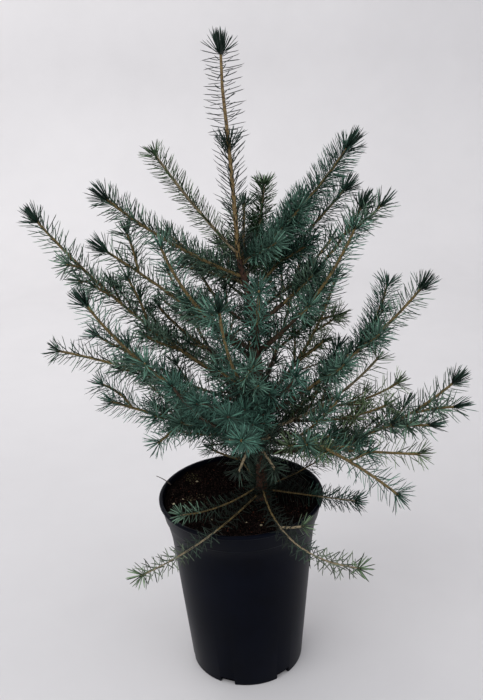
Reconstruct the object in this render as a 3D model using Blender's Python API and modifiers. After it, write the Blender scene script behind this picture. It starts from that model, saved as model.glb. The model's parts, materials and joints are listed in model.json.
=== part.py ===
"""A young Serbian spruce in a black nursery pot, as closed solids.

Metres, +Z up. The origin is the centre of the pot's flat underside, and the front of the
plant faces -Y. The trunk is one solid. Each main bough has a bare limb and a mass: a stem
that carries side shoots and needles. The small boughs are masses that meet the trunk.
"""

import math
import random

import bmesh
import bpy
import numpy as np

MM = 0.001
SEED = 21
GAP = 0.3 * MM

# Pot
POT_HEIGHT = 222 * MM
POT_STEPS = 32
RIM_RADIUS = 95 * MM
LEDGE = 199 * MM
LEDGE_RADIUS = 88 * MM
COLLAR_FOOT = 175 * MM
BODY_TOP_RADIUS = 83 * MM
FOOT_RADIUS = 66.8 * MM
WALL = 2 * MM
FLOOR = 3 * MM
NOTCHES = 6
NOTCH_WIDTH = 18 * MM
NOTCH_HEIGHT = 8 * MM
NOTCH_TURN = 248
HOLES = 6
HOLE_RADIUS = 5 * MM
HOLE_RING = 36 * MM

# Soil
SOIL_TOP = 211 * MM
SOIL_EDGE = 216 * MM
SOIL_BANK_FROM = 66 * MM
SOIL_STEPS = 32

# Trunk stations in mm: height over the floor, sideways, depth, radius
TRUNK = (
    (212.0, 25.0, 2.0, 9.5),
    (217, 25, 2, 7.6),
    (228, 24.5, 2, 6.6),
    (300, 24, 2, 6.0),
    (375, 24.5, 1, 5.4),
    (420, 23, 0, 4.6),
    (455, 18, 0, 4.0),
    (490, 10.5, 0, 3.4),
    (504, 8, 0, 2.9),
    (580, 5, 0, 2.5),
    (631, 2, 0, 2.3),
    (672, -1, 0, 1.9),
    (706, -1, 0, 1.6),
)
TRUNK_SIDES = 8

# Boughs: name, height on the trunk and length in mm; azimuth, turn, rise at the foot and at
# the tip in degrees; bare limb in mm (0: the mass meets the trunk); fullness of side shoots
BOUGHS = (
    ("a_left_up", 505, 135, 162, 0, 45, 55, 0, 0.35),
    ("a_left", 480, 164, 187, -1, 25, 43, 0, 0.4),
    ("a_right", 493, 163, 8, 0, 36, 54, 0, 0.55),
    ("a_back_right", 477, 107, 60, 0, 42, 82, 0, 0.45),
    ("a_back", 486, 72, 80, 0, 58, 78, 0, 0.5),
    ("ab_back_left", 472, 150, 126, 0, 4, 18, 0, 0.5),
    ("ab_right", 460, 155, 25, 0, 38, 41, 0, 0.5),
    ("b_right_back", 425, 170, 5, 0, 33, 60, 34, 0.5),
    ("b_right", 394, 178, -15, 0, 38, 68, 40, 0.5),
    ("b_left_front", 395, 172, 208, 0, 33, 71, 36, 0.55),
    ("b_left_back", 424, 105, 145, 0, 12, 70, 0, 0.7),
    ("b_left", 380, 205, 180, 0, 46, 36, 44, 0.5),
    ("b_left_thin", 370, 133, 165, 0, 16, 50, 0, 0.4),
    ("b_front", 404, 120, 272, 0, 44, 47, 0, 0.5),
    ("b_back_right", 440, 150, 46, 0, 8, 34, 0, 0.5),
    ("b_back", 408, 175, 98, 0, 30, 55, 40, 0.9),
    ("c_right_back", 331, 174, 35, 0, 26, 70, 34, 0.6),
    ("c_right_up", 315, 231, -5, 0, 29, 52, 50, 0.5),
    ("c_right_thin", 298, 160, 10, 0, 8, 48, 0, 0.4),
    ("c_big_left", 338, 307, 182, -8, 34, 52, 60, 0.4),
    ("c_left", 306, 254, 203, 0, 27, 60, 50, 0.5),
    ("c_left_level", 325, 240, 170, -4, 21, 9, 0, 0.45),
    ("c_front_up", 342, 170, 248, 0, 26, 80, 0, 0.5),
    ("c_front_right", 335, 95, 300, 0, 18, 56, 0, 0.8),
    ("c_back_right", 340, 210, 68, 0, 24, 50, 46, 0.9),
    ("c_back_left", 319, 215, 128, 0, 26, 52, 46, 0.9),
    ("d_right", 272, 237, -12, 0, 2, 47, 48, 0.5),
    ("d_right_level", 286, 187, -33, 8, 6, 8, 0, 0.45),
    ("d_right_front", 304, 190, -45, 0, 10, -20, 44, 0.4),
    ("d_left", 296, 172, 190, 0, 14, 26, 0, 0.7),
    ("d_front_1", 292, 165, 225, 0, 20, 60, 0, 0.6),
    ("d_front_2", 318, 134, 238, 0, 28, 28, 0, 0.6),
    ("d_front_3", 306, 122, 252, 0, 29, 29, 0, 0.6),
    ("d_front_4", 286, 165, 262, 0, 27, 27, 0, 0.5),
    ("d_back", 280, 190, 92, 0, 8, 30, 0, 0.9),
    ("d_back_right", 290, 175, 46, 0, 4, 30, 0, 0.6),
    ("d_back_left", 270, 165, 150, 0, 8, 36, 0, 0.9),
    ("e_left", 223, 241, 240, 0, -2, 18, 0, 0.25),
    ("e_left_short", 231, 119, 221, -2, -12, 20, 0, 0.3),
    ("e_right", 229, 267, -86, 28, -3, 26, 0, 0.25),
    ("e_right_level", 224, 114, -22, -7, 1, 7, 0, 0.4),
    ("e_right_back", 226, 112, 25, 0, 4, 24, 0, 0.5),
    ("e_back", 228, 150, 115, 0, 4, 24, 0, 0.7),
)

# Side shoots that stand out by themselves: bough, place along it, azimuth and length, rises
SHOOTS = (
    ("c_right_up", 0.53, 40, 96, 29, 70),
    ("d_right", 0.75, -40, 56, 27, 19),
    ("d_right", 0.62, -50, 63, 20, 21),
    ("b_right_back", 0.80, -15, 50, 33, 47),
    ("c_big_left", 0.78, 225, 21, 31, 18),
    ("c_big_left", 0.73, 215, 17, -12, 19),
    ("c_big_left", 0.48, 205, 60, 80, 62),
    ("b_left", 0.80, 165, 44, 84, 70),
    ("c_left", 0.72, 170, 40, 25, 32),
    ("d_left", 0.86, 165, 43, 60, 15),
    ("d_left", 0.53, 230, 40, -25, -10),
    ("c_right_thin", 0.45, -14, 96, 6, 38),
    ("c_right_thin", 0.25, -22, 112, 2, 32),
    ("d_right_front", 0.67, 0, 22, 24, 24),
    ("d_right_front", 0.30, -12, 64, 36, 56),
    ("c_right_back", 0.70, 0, 22, 19, 6),
    ("c_left_level", 0.52, 238, 52, 34, 40),
    ("d_right_level", 0.33, 236, 46, 22, 30),
    ("d_front_4", 0.30, 290, 55, -4, -12),
    ("d_front_4", 0.45, 244, 40, -22, -34),
)

LIMB_RADIUS = 3.4 * MM
STEM_RADIUS = 2.3 * MM
TIP_RADIUS = 1.2 * MM
SHOOT_RADIUS = 1.5 * MM
NEEDLE = 18.5 * MM
NEEDLE_PITCH = 17 * MM
NEEDLE_LEAN = 60
NEEDLE_TWIST = 0.55
TIP_LEAN = 26
NEEDLE_HALF = 1.6 * MM
PAIR_PLACES = (0.36, 0.62)
PAIR_ANGLE = 50
PAIR_SHARE = 0.62
LEAST_SHOOT = 26 * MM


def trunk_at(z):
    """Centre and radius of the trunk at a height in metres."""
    rows = np.array(TRUNK) * MM
    x, y, r = (float(np.interp(z, rows[:, 0], rows[:, k])) for k in (1, 2, 3))
    return np.array((x, y, z)), r


def heading(azimuth, rise):
    """Unit vector from two angles in degrees."""
    a, r = math.radians(azimuth), math.radians(rise)
    return np.array((math.cos(a) * math.cos(r), math.sin(a) * math.cos(r), math.sin(r)))


def bent(start, azimuth, turn, length, rise, rise_end, steps):
    """Points of a curve whose azimuth and rise change evenly along it."""
    points = [np.array(start, float)]
    for k in range(steps):
        t = (k + 0.5) / steps
        step = heading(azimuth + turn * t, rise + (rise_end - rise) * t)
        points.append(points[-1] + step * length / steps)
    return np.array(points)


def along(points, share):
    """Point and direction at a share of the length of a path of even steps."""
    place = min(max(share, 0.0), 0.9999) * (len(points) - 1)
    k = int(place)
    way = points[k + 1] - points[k]
    return points[k] + way * (place - k), way / np.linalg.norm(way)


def off_trunk(path, foot, size):
    """Share of a path at which a stem of this radius starts, one gap clear of the trunk."""
    rows = np.array(TRUNK) * MM
    axis = rows[:, [1, 2, 0]]
    share = 0.002
    while share < 0.3:
        centre, way = along(path, share)
        side = np.cross(way, (0.0, 0.0, 1.0))
        side /= np.linalg.norm(side)
        up = np.cross(side, way)
        turns = np.arange(12)[:, None] * math.pi / 6
        around = centre + foot * (np.cos(turns) * side + np.sin(turns) * up)
        if all(trunk_gap(p, axis, rows[:, 3]) > GAP for p in around):
            return share
        share += 0.0001 / size
    return share


def trunk_gap(point, axis, radii):
    """How far a point is off the trunk's tapering surface."""
    way = np.diff(axis, axis=0)
    share = np.clip(((point - axis[:-1]) * way).sum(1) / (way * way).sum(1), 0, 1)
    apart = np.linalg.norm(axis[:-1] + way * share[:, None] - point, axis=1)
    return float((apart - radii[:-1] - np.diff(radii) * share).min())


def stem_plan():
    """Every limb and stem as a dict of node, points and end radii, worked out by one rule."""
    rng = random.Random(SEED)
    plan = []
    for name, height, length, azimuth, turn, rise, rise_end, bare, full in BOUGHS:
        centre, radius = trunk_at(height * MM)
        size = length * MM
        path = bent(centre, azimuth, turn, size, rise, rise_end, 48)
        foot = LIMB_RADIUS if bare else STEM_RADIUS
        first = off_trunk(path, foot, size)
        mass_from = first
        if bare:
            mass_from = first + bare * MM / size
            limb = [along(path, s)[0] for s in np.linspace(first, mass_from, 5)]
            radii = (foot, STEM_RADIUS + 0.4 * MM)
            plan.append(dict(node="bough_" + name, kind="limb", points=np.array(limb), radii=radii))
            mass_from += GAP / size
        count = max(4, int(size * (1 - mass_from) / (26 * MM)))
        stem = np.array([along(path, s)[0] for s in np.linspace(mass_from, 1, count + 1)])
        node = "mass_" + name
        tip = TIP_RADIUS
        plan.append(dict(node=node, kind="stem", points=stem, radii=(STEM_RADIUS, tip)))
        sides = []
        for parent, place, side_azimuth, side_length, side_rise, side_end in SHOOTS:
            if parent == name:
                sides.append((place, side_azimuth, side_length * MM, side_rise, side_end))
        for place in PAIR_PLACES:
            for side in (-1, 1):
                angle = side * (PAIR_ANGLE + rng.uniform(-8, 8))
                reach = size * (1 - place) * PAIR_SHARE * full * rng.uniform(0.88, 1.12)
                local = rise + (rise_end - rise) * place
                lift = local * 0.6 + rng.uniform(-4, 12)
                if reach >= LEAST_SHOOT and place > mass_from + 0.04:
                    at = place + rng.uniform(-0.03, 0.03)
                    sides.append((at, azimuth + turn * place + angle, reach, lift, lift + 14))
        for place, side_azimuth, reach, side_rise, side_end in sides:
            if place < mass_from + 0.02:
                continue
            start = along(path, place)[0]
            shoot = bent(start, side_azimuth, 0, reach, side_rise, side_end, 3 if reach > 0.05 else 2)
            plan.append(dict(node=node, kind="shoot", points=shoot, radii=(SHOOT_RADIUS, TIP_RADIUS * 0.8)))
    return plan


def gap_between(a_start, a_end, b_start, b_end):
    """Least distance of one segment to each of many, and where on both it falls."""
    d1 = a_end - a_start
    d2 = b_end - b_start
    r = a_start - b_start
    a = float(d1 @ d1)
    e = (d2 * d2).sum(-1)
    f = (d2 * r).sum(-1)
    c = r @ d1
    b = d2 @ d1
    wide = a * e - b * b
    s = np.where(wide > 1e-14, np.clip((b * f - c * e) / np.maximum(wide, 1e-14), 0, 1), 0)
    t = np.clip((b * s + f) / e, 0, 1)
    s = np.clip((b * t - c) / a, 0, 1)
    apart = a_start + d1 * s[:, None] - b_start - d2 * t[:, None]
    return np.linalg.norm(apart, axis=1), s, t


class Room:
    """Every round piece placed so far, so that a new one can be kept clear of the others."""

    def __init__(self):
        self.starts = np.zeros((0, 3))
        self.ends = np.zeros((0, 3))
        self.radii = np.zeros((0, 2))
        self.nodes = np.zeros(0, int)
        self.names = []

    def add(self, node, points, radii):
        if node not in self.names:
            self.names.append(node)
        count = len(points) - 1
        r = np.linspace(radii[0], radii[1], count + 1)
        self.starts = np.vstack([self.starts, points[:-1]])
        self.ends = np.vstack([self.ends, points[1:]])
        self.radii = np.vstack([self.radii, np.stack([r[:-1], r[1:]], 1)])
        self.nodes = np.append(self.nodes, np.full(count, self.names.index(node)))

    def clear(self, node, start, end, radii, apart):
        """True if a tapering piece keeps this far apart from every other node's."""
        if not len(self.nodes):
            return True
        other = self.nodes != (self.names.index(node) if node in self.names else -1)
        gap, s, t = gap_between(start, end, self.starts[other], self.ends[other])
        near = self.radii[other]
        own = radii[0] + (radii[1] - radii[0]) * s
        theirs = near[:, 0] + (near[:, 1] - near[:, 0]) * t
        return bool((gap > own + theirs + apart).all())


# Solids

PLASTIC = (0.012, 0.014, 0.018)
SOIL_BROWN = (0.035, 0.024, 0.018)
BARK = (0.11, 0.06, 0.035)
YOUNG_BARK = (0.28, 0.17, 0.07)
NEEDLE_GREEN = (0.05, 0.13, 0.12)


def material(name, colour, rough):
    made = bpy.data.materials.new(name)
    made.use_nodes = True
    shader = made.node_tree.nodes["Principled BSDF"]
    shader.inputs["Base Color"].default_value = (*colour, 1)
    shader.inputs["Roughness"].default_value = rough
    return made


def mesh_object(name, points, faces, home):
    mesh = bpy.data.meshes.new(name)
    mesh.from_pydata([tuple(map(float, p)) for p in points], [], faces)
    mesh.update()
    made = bpy.data.objects.new(name, mesh)
    home.objects.link(made)
    return made


def rings(path, radii, sides, twist=0.0, more=0.0):
    """Rings of points square to a path, carried along it and turned by so much more each time."""
    ways = np.diff(path, axis=0)
    ways /= np.linalg.norm(ways, axis=1)[:, None]
    made = []
    side = None
    for k, centre in enumerate(path):
        way = ways[0] if k == 0 else ways[-1] if k == len(path) - 1 else ways[k - 1] + ways[k]
        way = way / np.linalg.norm(way)
        if side is None:
            side = np.cross(way, (0.0, 0.0, 1.0))
            if np.linalg.norm(side) < 0.1:
                side = np.cross(way, (1.0, 0.0, 0.0))
        side = side - way * (side @ way)
        side /= np.linalg.norm(side)
        up = np.cross(way, side)
        turns = twist + more * k + np.arange(sides) * 2 * math.pi / sides
        made.append(centre + radii[k] * (np.cos(turns)[:, None] * side + np.sin(turns)[:, None] * up))
    return made


def tube(name, path, radii, sides, home, twist=0.0):
    """A closed tube along a path, with a flat cap at each end."""
    loops = rings(np.array(path), radii, sides, twist)
    points = np.vstack(loops)
    faces = [tuple(range(sides - 1, -1, -1))]
    for k in range(len(loops) - 1):
        for j in range(sides):
            i = (j + 1) % sides
            faces.append((k * sides + j, k * sides + i, (k + 1) * sides + i, (k + 1) * sides + j))
    last = (len(loops) - 1) * sides
    faces.append(tuple(last + j for j in range(sides)))
    return mesh_object(name, points, faces, home)


def lathe(name, profile, steps, home):
    """A closed solid turned about the Z axis by a Screw modifier."""
    line = bpy.data.meshes.new(name + "_profile")
    line.from_pydata([(r, 0, z) for r, z in profile], [(k, k + 1) for k in range(len(profile) - 1)], [])
    made = bpy.data.objects.new(line.name, line)
    home.objects.link(made)
    screw = made.modifiers.new("Turned", "SCREW")
    screw.axis = "Z"
    screw.angle = 2 * math.pi
    screw.steps = steps
    screw.render_steps = steps
    screw.use_merge_vertices = True
    screw.merge_threshold = 0.00002
    graph = bpy.context.evaluated_depsgraph_get()
    graph.update()
    mesh = bpy.data.meshes.new_from_object(made.evaluated_get(graph))
    solid = bpy.data.objects.new(name, mesh)
    home.objects.link(solid)
    bpy.data.objects.remove(made)
    return solid


def boolean(target, operation, other, solver="EXACT"):
    """Applies one Boolean of an object or a collection to the target."""
    change = target.modifiers.new(operation.title(), "BOOLEAN")
    change.operation = operation
    change.solver = solver
    if isinstance(other, bpy.types.Collection):
        change.operand_type = "COLLECTION"
        change.collection = other
    else:
        change.object = other
    graph = bpy.context.evaluated_depsgraph_get()
    graph.update()
    mesh = bpy.data.meshes.new_from_object(target.evaluated_get(graph))
    old = target.data
    target.modifiers.clear()
    target.data = mesh
    bpy.data.meshes.remove(old)


def keep_largest(solid):
    """Drops any loose scrap and leaves the one body."""
    work = bmesh.new()
    work.from_mesh(solid.data)
    seen = set()
    groups = []
    for start in work.faces:
        if start in seen:
            continue
        group = [start]
        seen.add(start)
        for face in group:
            for edge in face.edges:
                for next_one in edge.link_faces:
                    if next_one not in seen:
                        seen.add(next_one)
                        group.append(next_one)
        groups.append(group)
    groups.sort(key=len)
    for group in groups[:-1]:
        bmesh.ops.delete(work, geom=group, context="FACES")
    work.to_mesh(solid.data)
    work.free()


def pot_outline():
    """Radius and height of the pot's section, down the outside and up the inside."""
    lip = RIM_RADIUS
    return (
        (0, 0),
        (FOOT_RADIUS - 1.2 * MM, 0),
        (FOOT_RADIUS, 1.6 * MM),
        (BODY_TOP_RADIUS, COLLAR_FOOT),
        (BODY_TOP_RADIUS + 1.2 * MM, COLLAR_FOOT + 2 * MM),
        (LEDGE_RADIUS, LEDGE),
        (LEDGE_RADIUS + 1.2 * MM, LEDGE + 0.8 * MM),
        (lip - 2 * MM, POT_HEIGHT - 5 * MM),
        (lip, POT_HEIGHT - 3.6 * MM),
        (lip, POT_HEIGHT - 1 * MM),
        (lip - 1 * MM, POT_HEIGHT),
        (lip - 3.6 * MM, POT_HEIGHT),
        (lip - 4.6 * MM, POT_HEIGHT - 2 * MM),
        (LEDGE_RADIUS - WALL, LEDGE),
        (BODY_TOP_RADIUS - WALL, COLLAR_FOOT),
        (FOOT_RADIUS - WALL, FLOOR),
        (0, FLOOR),
    )


def outer_radius(z):
    """Radius of the pot's outside at a height."""
    line = pot_outline()[1:11]
    return float(np.interp(z, [row[1] for row in line], [row[0] for row in line]))


def soil_top(reach):
    """Height of the soil at a distance from the pot's axis: flat, with a low bank at the wall."""
    share = max(reach - SOIL_BANK_FROM, 0) / (LEDGE_RADIUS - WALL - SOIL_BANK_FROM)
    return SOIL_TOP + (SOIL_EDGE - SOIL_TOP) * share


def hits_pot(point, apart):
    """True if a point comes this near the pot's wall and lip, or the soil."""
    x, y, z = point
    reach = math.hypot(x, y)
    if z > POT_HEIGHT + apart:
        return False
    if reach > RIM_RADIUS - 8 * MM:
        return reach < outer_radius(max(z, 0.0)) + apart
    return z < soil_top(reach) + apart


def make_pot(home, cutters):
    """The pot, with drain notches round its foot and drain holes through its floor."""
    pot = lathe("pot", pot_outline()[::-1], POT_STEPS, home)
    for k in range(NOTCHES):
        turn = math.radians(NOTCH_TURN + 360 / NOTCHES * k)
        bpy.ops.mesh.primitive_cube_add(size=1)
        box = bpy.context.object
        box.name = "notch_%d" % k
        box.scale = (16 * MM, NOTCH_WIDTH, NOTCH_HEIGHT * 2)
        reach = FOOT_RADIUS + 0.5 * MM
        box.location = (reach * math.cos(turn), reach * math.sin(turn), 0)
        box.rotation_euler = (0, 0, turn)
        put(box, cutters)
    for k in range(HOLES):
        turn = math.radians(NOTCH_TURN + 30 + 360 / HOLES * k)
        bpy.ops.mesh.primitive_cylinder_add(vertices=12, radius=HOLE_RADIUS, depth=4 * FLOOR)
        hole = bpy.context.object
        hole.name = "hole_%d" % k
        hole.location = (HOLE_RING * math.cos(turn), HOLE_RING * math.sin(turn), FLOOR / 2)
        put(hole, cutters)
    bpy.context.view_layer.update()
    boolean(pot, "DIFFERENCE", cutters)
    return pot


def put(made, home):
    """Moves an object to this collection, and to no other."""
    for old in list(made.users_collection):
        old.objects.unlink(made)
    home.objects.link(made)


def make_soil(home):
    """Soil that fills the pot, one gap clear of its wall and floor."""
    ledge = LEDGE_RADIUS - WALL - 0.5 * MM
    edge = float(np.interp(SOIL_EDGE, (LEDGE, POT_HEIGHT), (ledge, RIM_RADIUS - 5 * MM)))
    wall_foot = FOOT_RADIUS - WALL - 0.35 * MM
    side = wall_foot + (BODY_TOP_RADIUS - FOOT_RADIUS) * 0.985
    profile = (
        (0, SOIL_TOP),
        (36 * MM, SOIL_TOP + 0.4 * MM),
        (SOIL_BANK_FROM, SOIL_TOP),
        (edge, SOIL_EDGE),
        (ledge, LEDGE - 0.5 * MM),
        (side - 0.4 * MM, COLLAR_FOOT - 0.5 * MM),
        (wall_foot, FLOOR + GAP),
        (0, FLOOR + GAP),
    )
    return lathe("soil", profile, SOIL_STEPS, home)


def build():
    """Clears the scene, makes the pot, soil and trunk, and finds room for every stem and shoot."""
    for old in list(bpy.data.objects):
        bpy.data.objects.remove(old)
    scene = bpy.context.scene
    home = bpy.data.collections.new("potted_spruce")
    cutters = bpy.data.collections.new("cutters")
    cutters.hide_render = True
    scene.collection.children.link(home)
    scene.collection.children.link(cutters)
    rng = random.Random(SEED + 1)

    pot = make_pot(home, cutters)
    for tool in list(cutters.objects):
        bpy.data.objects.remove(tool)
    soil = make_soil(home)
    rows = np.array(TRUNK) * MM
    trunk = tube("trunk", rows[:, [1, 2, 0]], rows[:, 3], TRUNK_SIDES, home)

    plan = stem_plan()
    room = Room()
    for k in range(len(rows) - 1):
        room.add("trunk", rows[k : k + 2, [1, 2, 0]], rows[k : k + 2, 3])
    kept = []
    for want in ("limb", "stem", "shoot"):
        for piece in plan:
            if piece["kind"] != want:
                continue
            if want == "shoot":
                radii = piece["radii"]
                points = piece["points"]
                fits = all(
                    room.clear(piece["node"], points[k], points[k + 1], (radii[0], radii[0]), 0.0012)
                    and not hits_pot(points[k + 1], 0.003)
                    for k in range(len(points) - 1)
                )
                if not fits:
                    continue
            room.add(piece["node"], piece["points"], piece["radii"])
            kept.append(piece)
    return home, room, kept, rng, dict(pot=pot, soil=soil, trunk=trunk)


def needled(node, path, radii, sides, room, rng, bare, needle):
    """Points and faces of a closed stem whose side faces are drawn out into needles.

    A face is left flat where its needle would touch another node.
    """
    length = float(np.linalg.norm(np.diff(path, axis=0), axis=1).sum())
    count = max(2, int(round((length - bare) / NEEDLE_PITCH)))
    shares = [0.0] + [(bare + (length - bare) * k / count) / length for k in range(count + 1)]
    centres = [along(path, share)[0] for share in shares]
    sizes = [radii[0] + (radii[1] - radii[0]) * share for share in shares]
    loops = rings(np.array(centres), sizes, sides, rng.uniform(0, 2), NEEDLE_TWIST)
    points = list(np.vstack(loops))
    faces = [tuple(range(sides - 1, -1, -1))]
    tips = []
    for k in range(len(loops) - 1):
        last = k == len(loops) - 2
        way = centres[k + 1] - centres[k]
        way /= np.linalg.norm(way)
        for j in range(sides):
            i = (j + 1) % sides
            quad = (k * sides + j, k * sides + i, (k + 1) * sides + i, (k + 1) * sides + j)
            root = (points[quad[0]] + points[quad[1]] + points[quad[2]] + points[quad[3]]) / 4
            out = root - (centres[k] + centres[k + 1]) / 2
            out -= way * (out @ way)
            out /= np.linalg.norm(out)
            lean = math.radians(TIP_LEAN if last else NEEDLE_LEAN + rng.uniform(-9, 9))
            tip = root + (way * math.cos(lean) + out * math.sin(lean)) * needle * rng.uniform(0.9, 1.08)
            back = (points[quad[0]] + points[quad[1]]) / 2
            front = (points[quad[2]] + points[quad[3]]) / 2
            if k == 0 or not grows(node, back, root, front, tip, room):
                faces.append(quad)
                continue
            points.append(tip)
            top = len(points) - 1
            faces += [(quad[m], quad[(m + 1) % 4], top) for m in range(4)]
    end = (len(loops) - 1) * sides
    way = centres[-1] - centres[-2]
    way /= np.linalg.norm(way)
    tip = centres[-1] + way * needle * 0.95
    if grows(node, centres[-1], centres[-1], centres[-1], tip, room):
        points.append(tip)
        faces += [(end + j, end + (j + 1) % sides, len(points) - 1) for j in range(sides)]
    else:
        faces.append(tuple(end + j for j in range(sides)))
    return np.array(points), faces


def grows(node, back, root, front, tip, room):
    """True if a needle keeps clear of every other node, which then takes up its room."""
    for foot in (back, front):
        if any(hits_pot(foot + (tip - foot) * share, 2.5 * MM) for share in (0.3, 0.6, 0.8, 1)):
            return False
    feet = (root,)
    if np.linalg.norm(front - back) > 1e-9:
        feet = [back + (front - back) * share for share in (0.08, 0.36, 0.64, 0.92)]
    thick = (NEEDLE_HALF, 0.0001)
    if not all(room.clear(node, foot, tip, thick, 0.0005) for foot in feet):
        return False
    for foot in feet:
        room.add(node, np.array([foot, tip]), thick)
    return True


def mass_parts(node, pieces, room, rng, works):
    """The stem of one mass with its needles. Its side shoots are left in works."""
    first = None
    for count, piece in enumerate(pieces):
        stem = piece["kind"] == "stem"
        sides = 4 if stem else 3
        bare = (5 if stem else 8) * MM
        shape = needled(node, piece["points"], piece["radii"], sides, room, rng, bare, NEEDLE)
        made = mesh_object(node if stem else "%s_%d" % (node, count), *shape, works)
        first = first or made
    return first


LEADER_FROM = 521 * MM
LEADER_PITCH = 9 * MM
SLEEVE_WALL = 1.2 * MM
SLEEVE_GAP = 0.4 * MM
BUD_HEIGHT = 4 * MM
TUFT = (612 * MM, 636 * MM)


def leader_parts(trunk_rows, room, rng, home):
    """The leading shoot's needles, on a thin sleeve round the trunk's top, closed over its tip."""
    path = trunk_rows[:, [1, 2, 0]]
    radii = trunk_rows[:, 3]
    loops = rings(path, radii, TRUNK_SIDES)
    top = path[-1][2]
    count = int((top - LEADER_FROM) / LEADER_PITCH)
    heights = list(np.linspace(LEADER_FROM, top, count + 1))
    inner_heights = [LEADER_FROM] + [p[2] for p in path if LEADER_FROM + 0.01 < p[2] < top] + [top]
    inner = []
    outer = []
    middles = []
    for z in heights + inner_heights:
        k = min(int(np.searchsorted(path[:, 2], z, side="right")) - 1, len(path) - 2)
        t = (z - path[k][2]) / (path[k + 1][2] - path[k][2])
        loop = loops[k] + (loops[k + 1] - loops[k]) * t
        centre = path[k] + (path[k + 1] - path[k]) * t
        radius = radii[k] + (radii[k + 1] - radii[k]) * t
        if len(outer) < len(heights):
            outer.append(centre + (loop - centre) * (radius + SLEEVE_GAP + SLEEVE_WALL) / radius)
            middles.append((centre, radius))
        else:
            inner.append(centre + (loop - centre) * (radius + SLEEVE_GAP) / radius)
    lift = np.array((0.0, 0.0, SLEEVE_GAP))
    inner[-1] = inner[-1] + lift
    outer[-1] = outer[-1] + lift * 2
    centre, radius = middles[-1]
    bud = centre + (outer[-1] - centre - lift * 2) * 0.6 + np.array((0.0, 0.0, BUD_HEIGHT))
    loops = outer + [bud]
    n = TRUNK_SIDES
    points = list(np.vstack(loops + inner))
    faces = []
    for k in range(len(loops) - 1):
        middle = (loops[k].mean(0) + loops[k + 1].mean(0)) / 2
        way = loops[k + 1].mean(0) - loops[k].mean(0)
        way /= np.linalg.norm(way)
        height = middle[2]
        crown = k == len(loops) - 2
        for j in range(n):
            i = (j + 1) % n
            quad = (k * n + j, k * n + i, (k + 1) * n + i, (k + 1) * n + j)
            if (k + j) % 2 and not crown:
                faces.append(quad)
                continue
            root = sum(points[q] for q in quad) / 4
            out = root - middle
            out -= way * (out @ way)
            out /= np.linalg.norm(out)
            tuft = TUFT[0] < height < TUFT[1]
            lean = (52 if height < TUFT[0] else 78) + rng.uniform(-8, 8)
            reach = 19
            if tuft or k == len(loops) - 3:
                lean = 38
                reach = 20
            if crown:
                lean = 14 if j % 2 else 22
                reach = 25
            lean = math.radians(lean)
            tip = root + (way * math.cos(lean) + out * math.sin(lean)) * reach * MM * rng.uniform(0.92, 1.06)
            room.add("mass_leader", np.array([root, tip]), (0.0013, 0.0001))
            points.append(tip)
            faces += [(quad[m], quad[(m + 1) % 4], len(points) - 1) for m in range(4)]
    last = (len(loops) - 1) * n
    tip = loops[-1].mean(0) + np.array((0.0, 0.0, 23 * MM))
    points.append(tip)
    faces += [(last + j, last + (j + 1) % n, len(points) - 1) for j in range(n)]
    low = len(loops) * n
    high = low + (len(inner) - 1) * n
    for j in range(n):
        i = (j + 1) % n
        faces.append((low + j, low + i, i, j))
    for k in range(len(inner) - 1):
        for j in range(n):
            i = (j + 1) % n
            a, b = low + k * n, low + (k + 1) * n
            faces.append((b + j, b + i, a + i, a + j))
    faces.append(tuple(high + n - 1 - j for j in range(n)))
    middle_points = np.array([m[0] for m in middles])
    for k in range(len(middles) - 1):
        ends = (middles[k][1] + SLEEVE_GAP + SLEEVE_WALL, middles[k + 1][1] + SLEEVE_GAP + SLEEVE_WALL)
        room.add("mass_leader", middle_points[k : k + 2], ends)
    return mesh_object("mass_leader", points, faces, home)


def main():
    home, room, kept, rng, made = build()
    looks = {
        "pot": material("black_plastic", PLASTIC, 0.42),
        "soil": material("soil", SOIL_BROWN, 0.95),
        "trunk": material("bark", BARK, 0.85),
        "bough": material("young_bark", YOUNG_BARK, 0.8),
        "mass": material("needles", NEEDLE_GREEN, 0.6),
    }
    works = bpy.data.collections.new("works")
    bpy.context.scene.collection.children.link(works)
    nodes = []
    for piece in kept:
        if piece["kind"] == "limb":
            radii = np.linspace(piece["radii"][0], piece["radii"][1], len(piece["points"]))
            made[piece["node"]] = tube(piece["node"], piece["points"], radii, 6, home)
        elif piece["node"] not in nodes:
            nodes.append(piece["node"])
    rows = np.array(TRUNK) * MM
    made["mass_leader"] = leader_parts(rows, room, rng, home)
    for node in nodes:
        pieces = [piece for piece in kept if piece["node"] == node]
        solid = mass_parts(node, pieces, room, rng, works)
        put(solid, home)
        made[node] = solid
        fuse(solid, works)
    for name, solid in made.items():
        look = looks.get(name) or looks[name.split("_")[0]]
        solid.data.materials.clear()
        solid.data.materials.append(look)
    bpy.data.collections.remove(works)
    bpy.data.collections.remove(bpy.data.collections["cutters"])


def fuse(solid, works):
    """Joins everything in the works collection to the solid with one Boolean union."""
    if len(works.objects):
        boolean(solid, "UNION", works, "MANIFOLD")
    for tool in list(works.objects):
        bpy.data.objects.remove(tool)
    keep_largest(solid)


main()
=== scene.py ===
"""Looks for the potted spruce: bark, twigs, needles, pot, soil, floor, light and camera.

Metres, +Z up, the front of the plant faces -Y. The boughs follow the rule of the solids, and
each mass is grown again from it with side twigs, finer twigs and needles in sprays.
"""

import json
import math
import random

import bmesh
import bpy
import numpy as np
from mathutils import Matrix, Vector, noise

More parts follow.
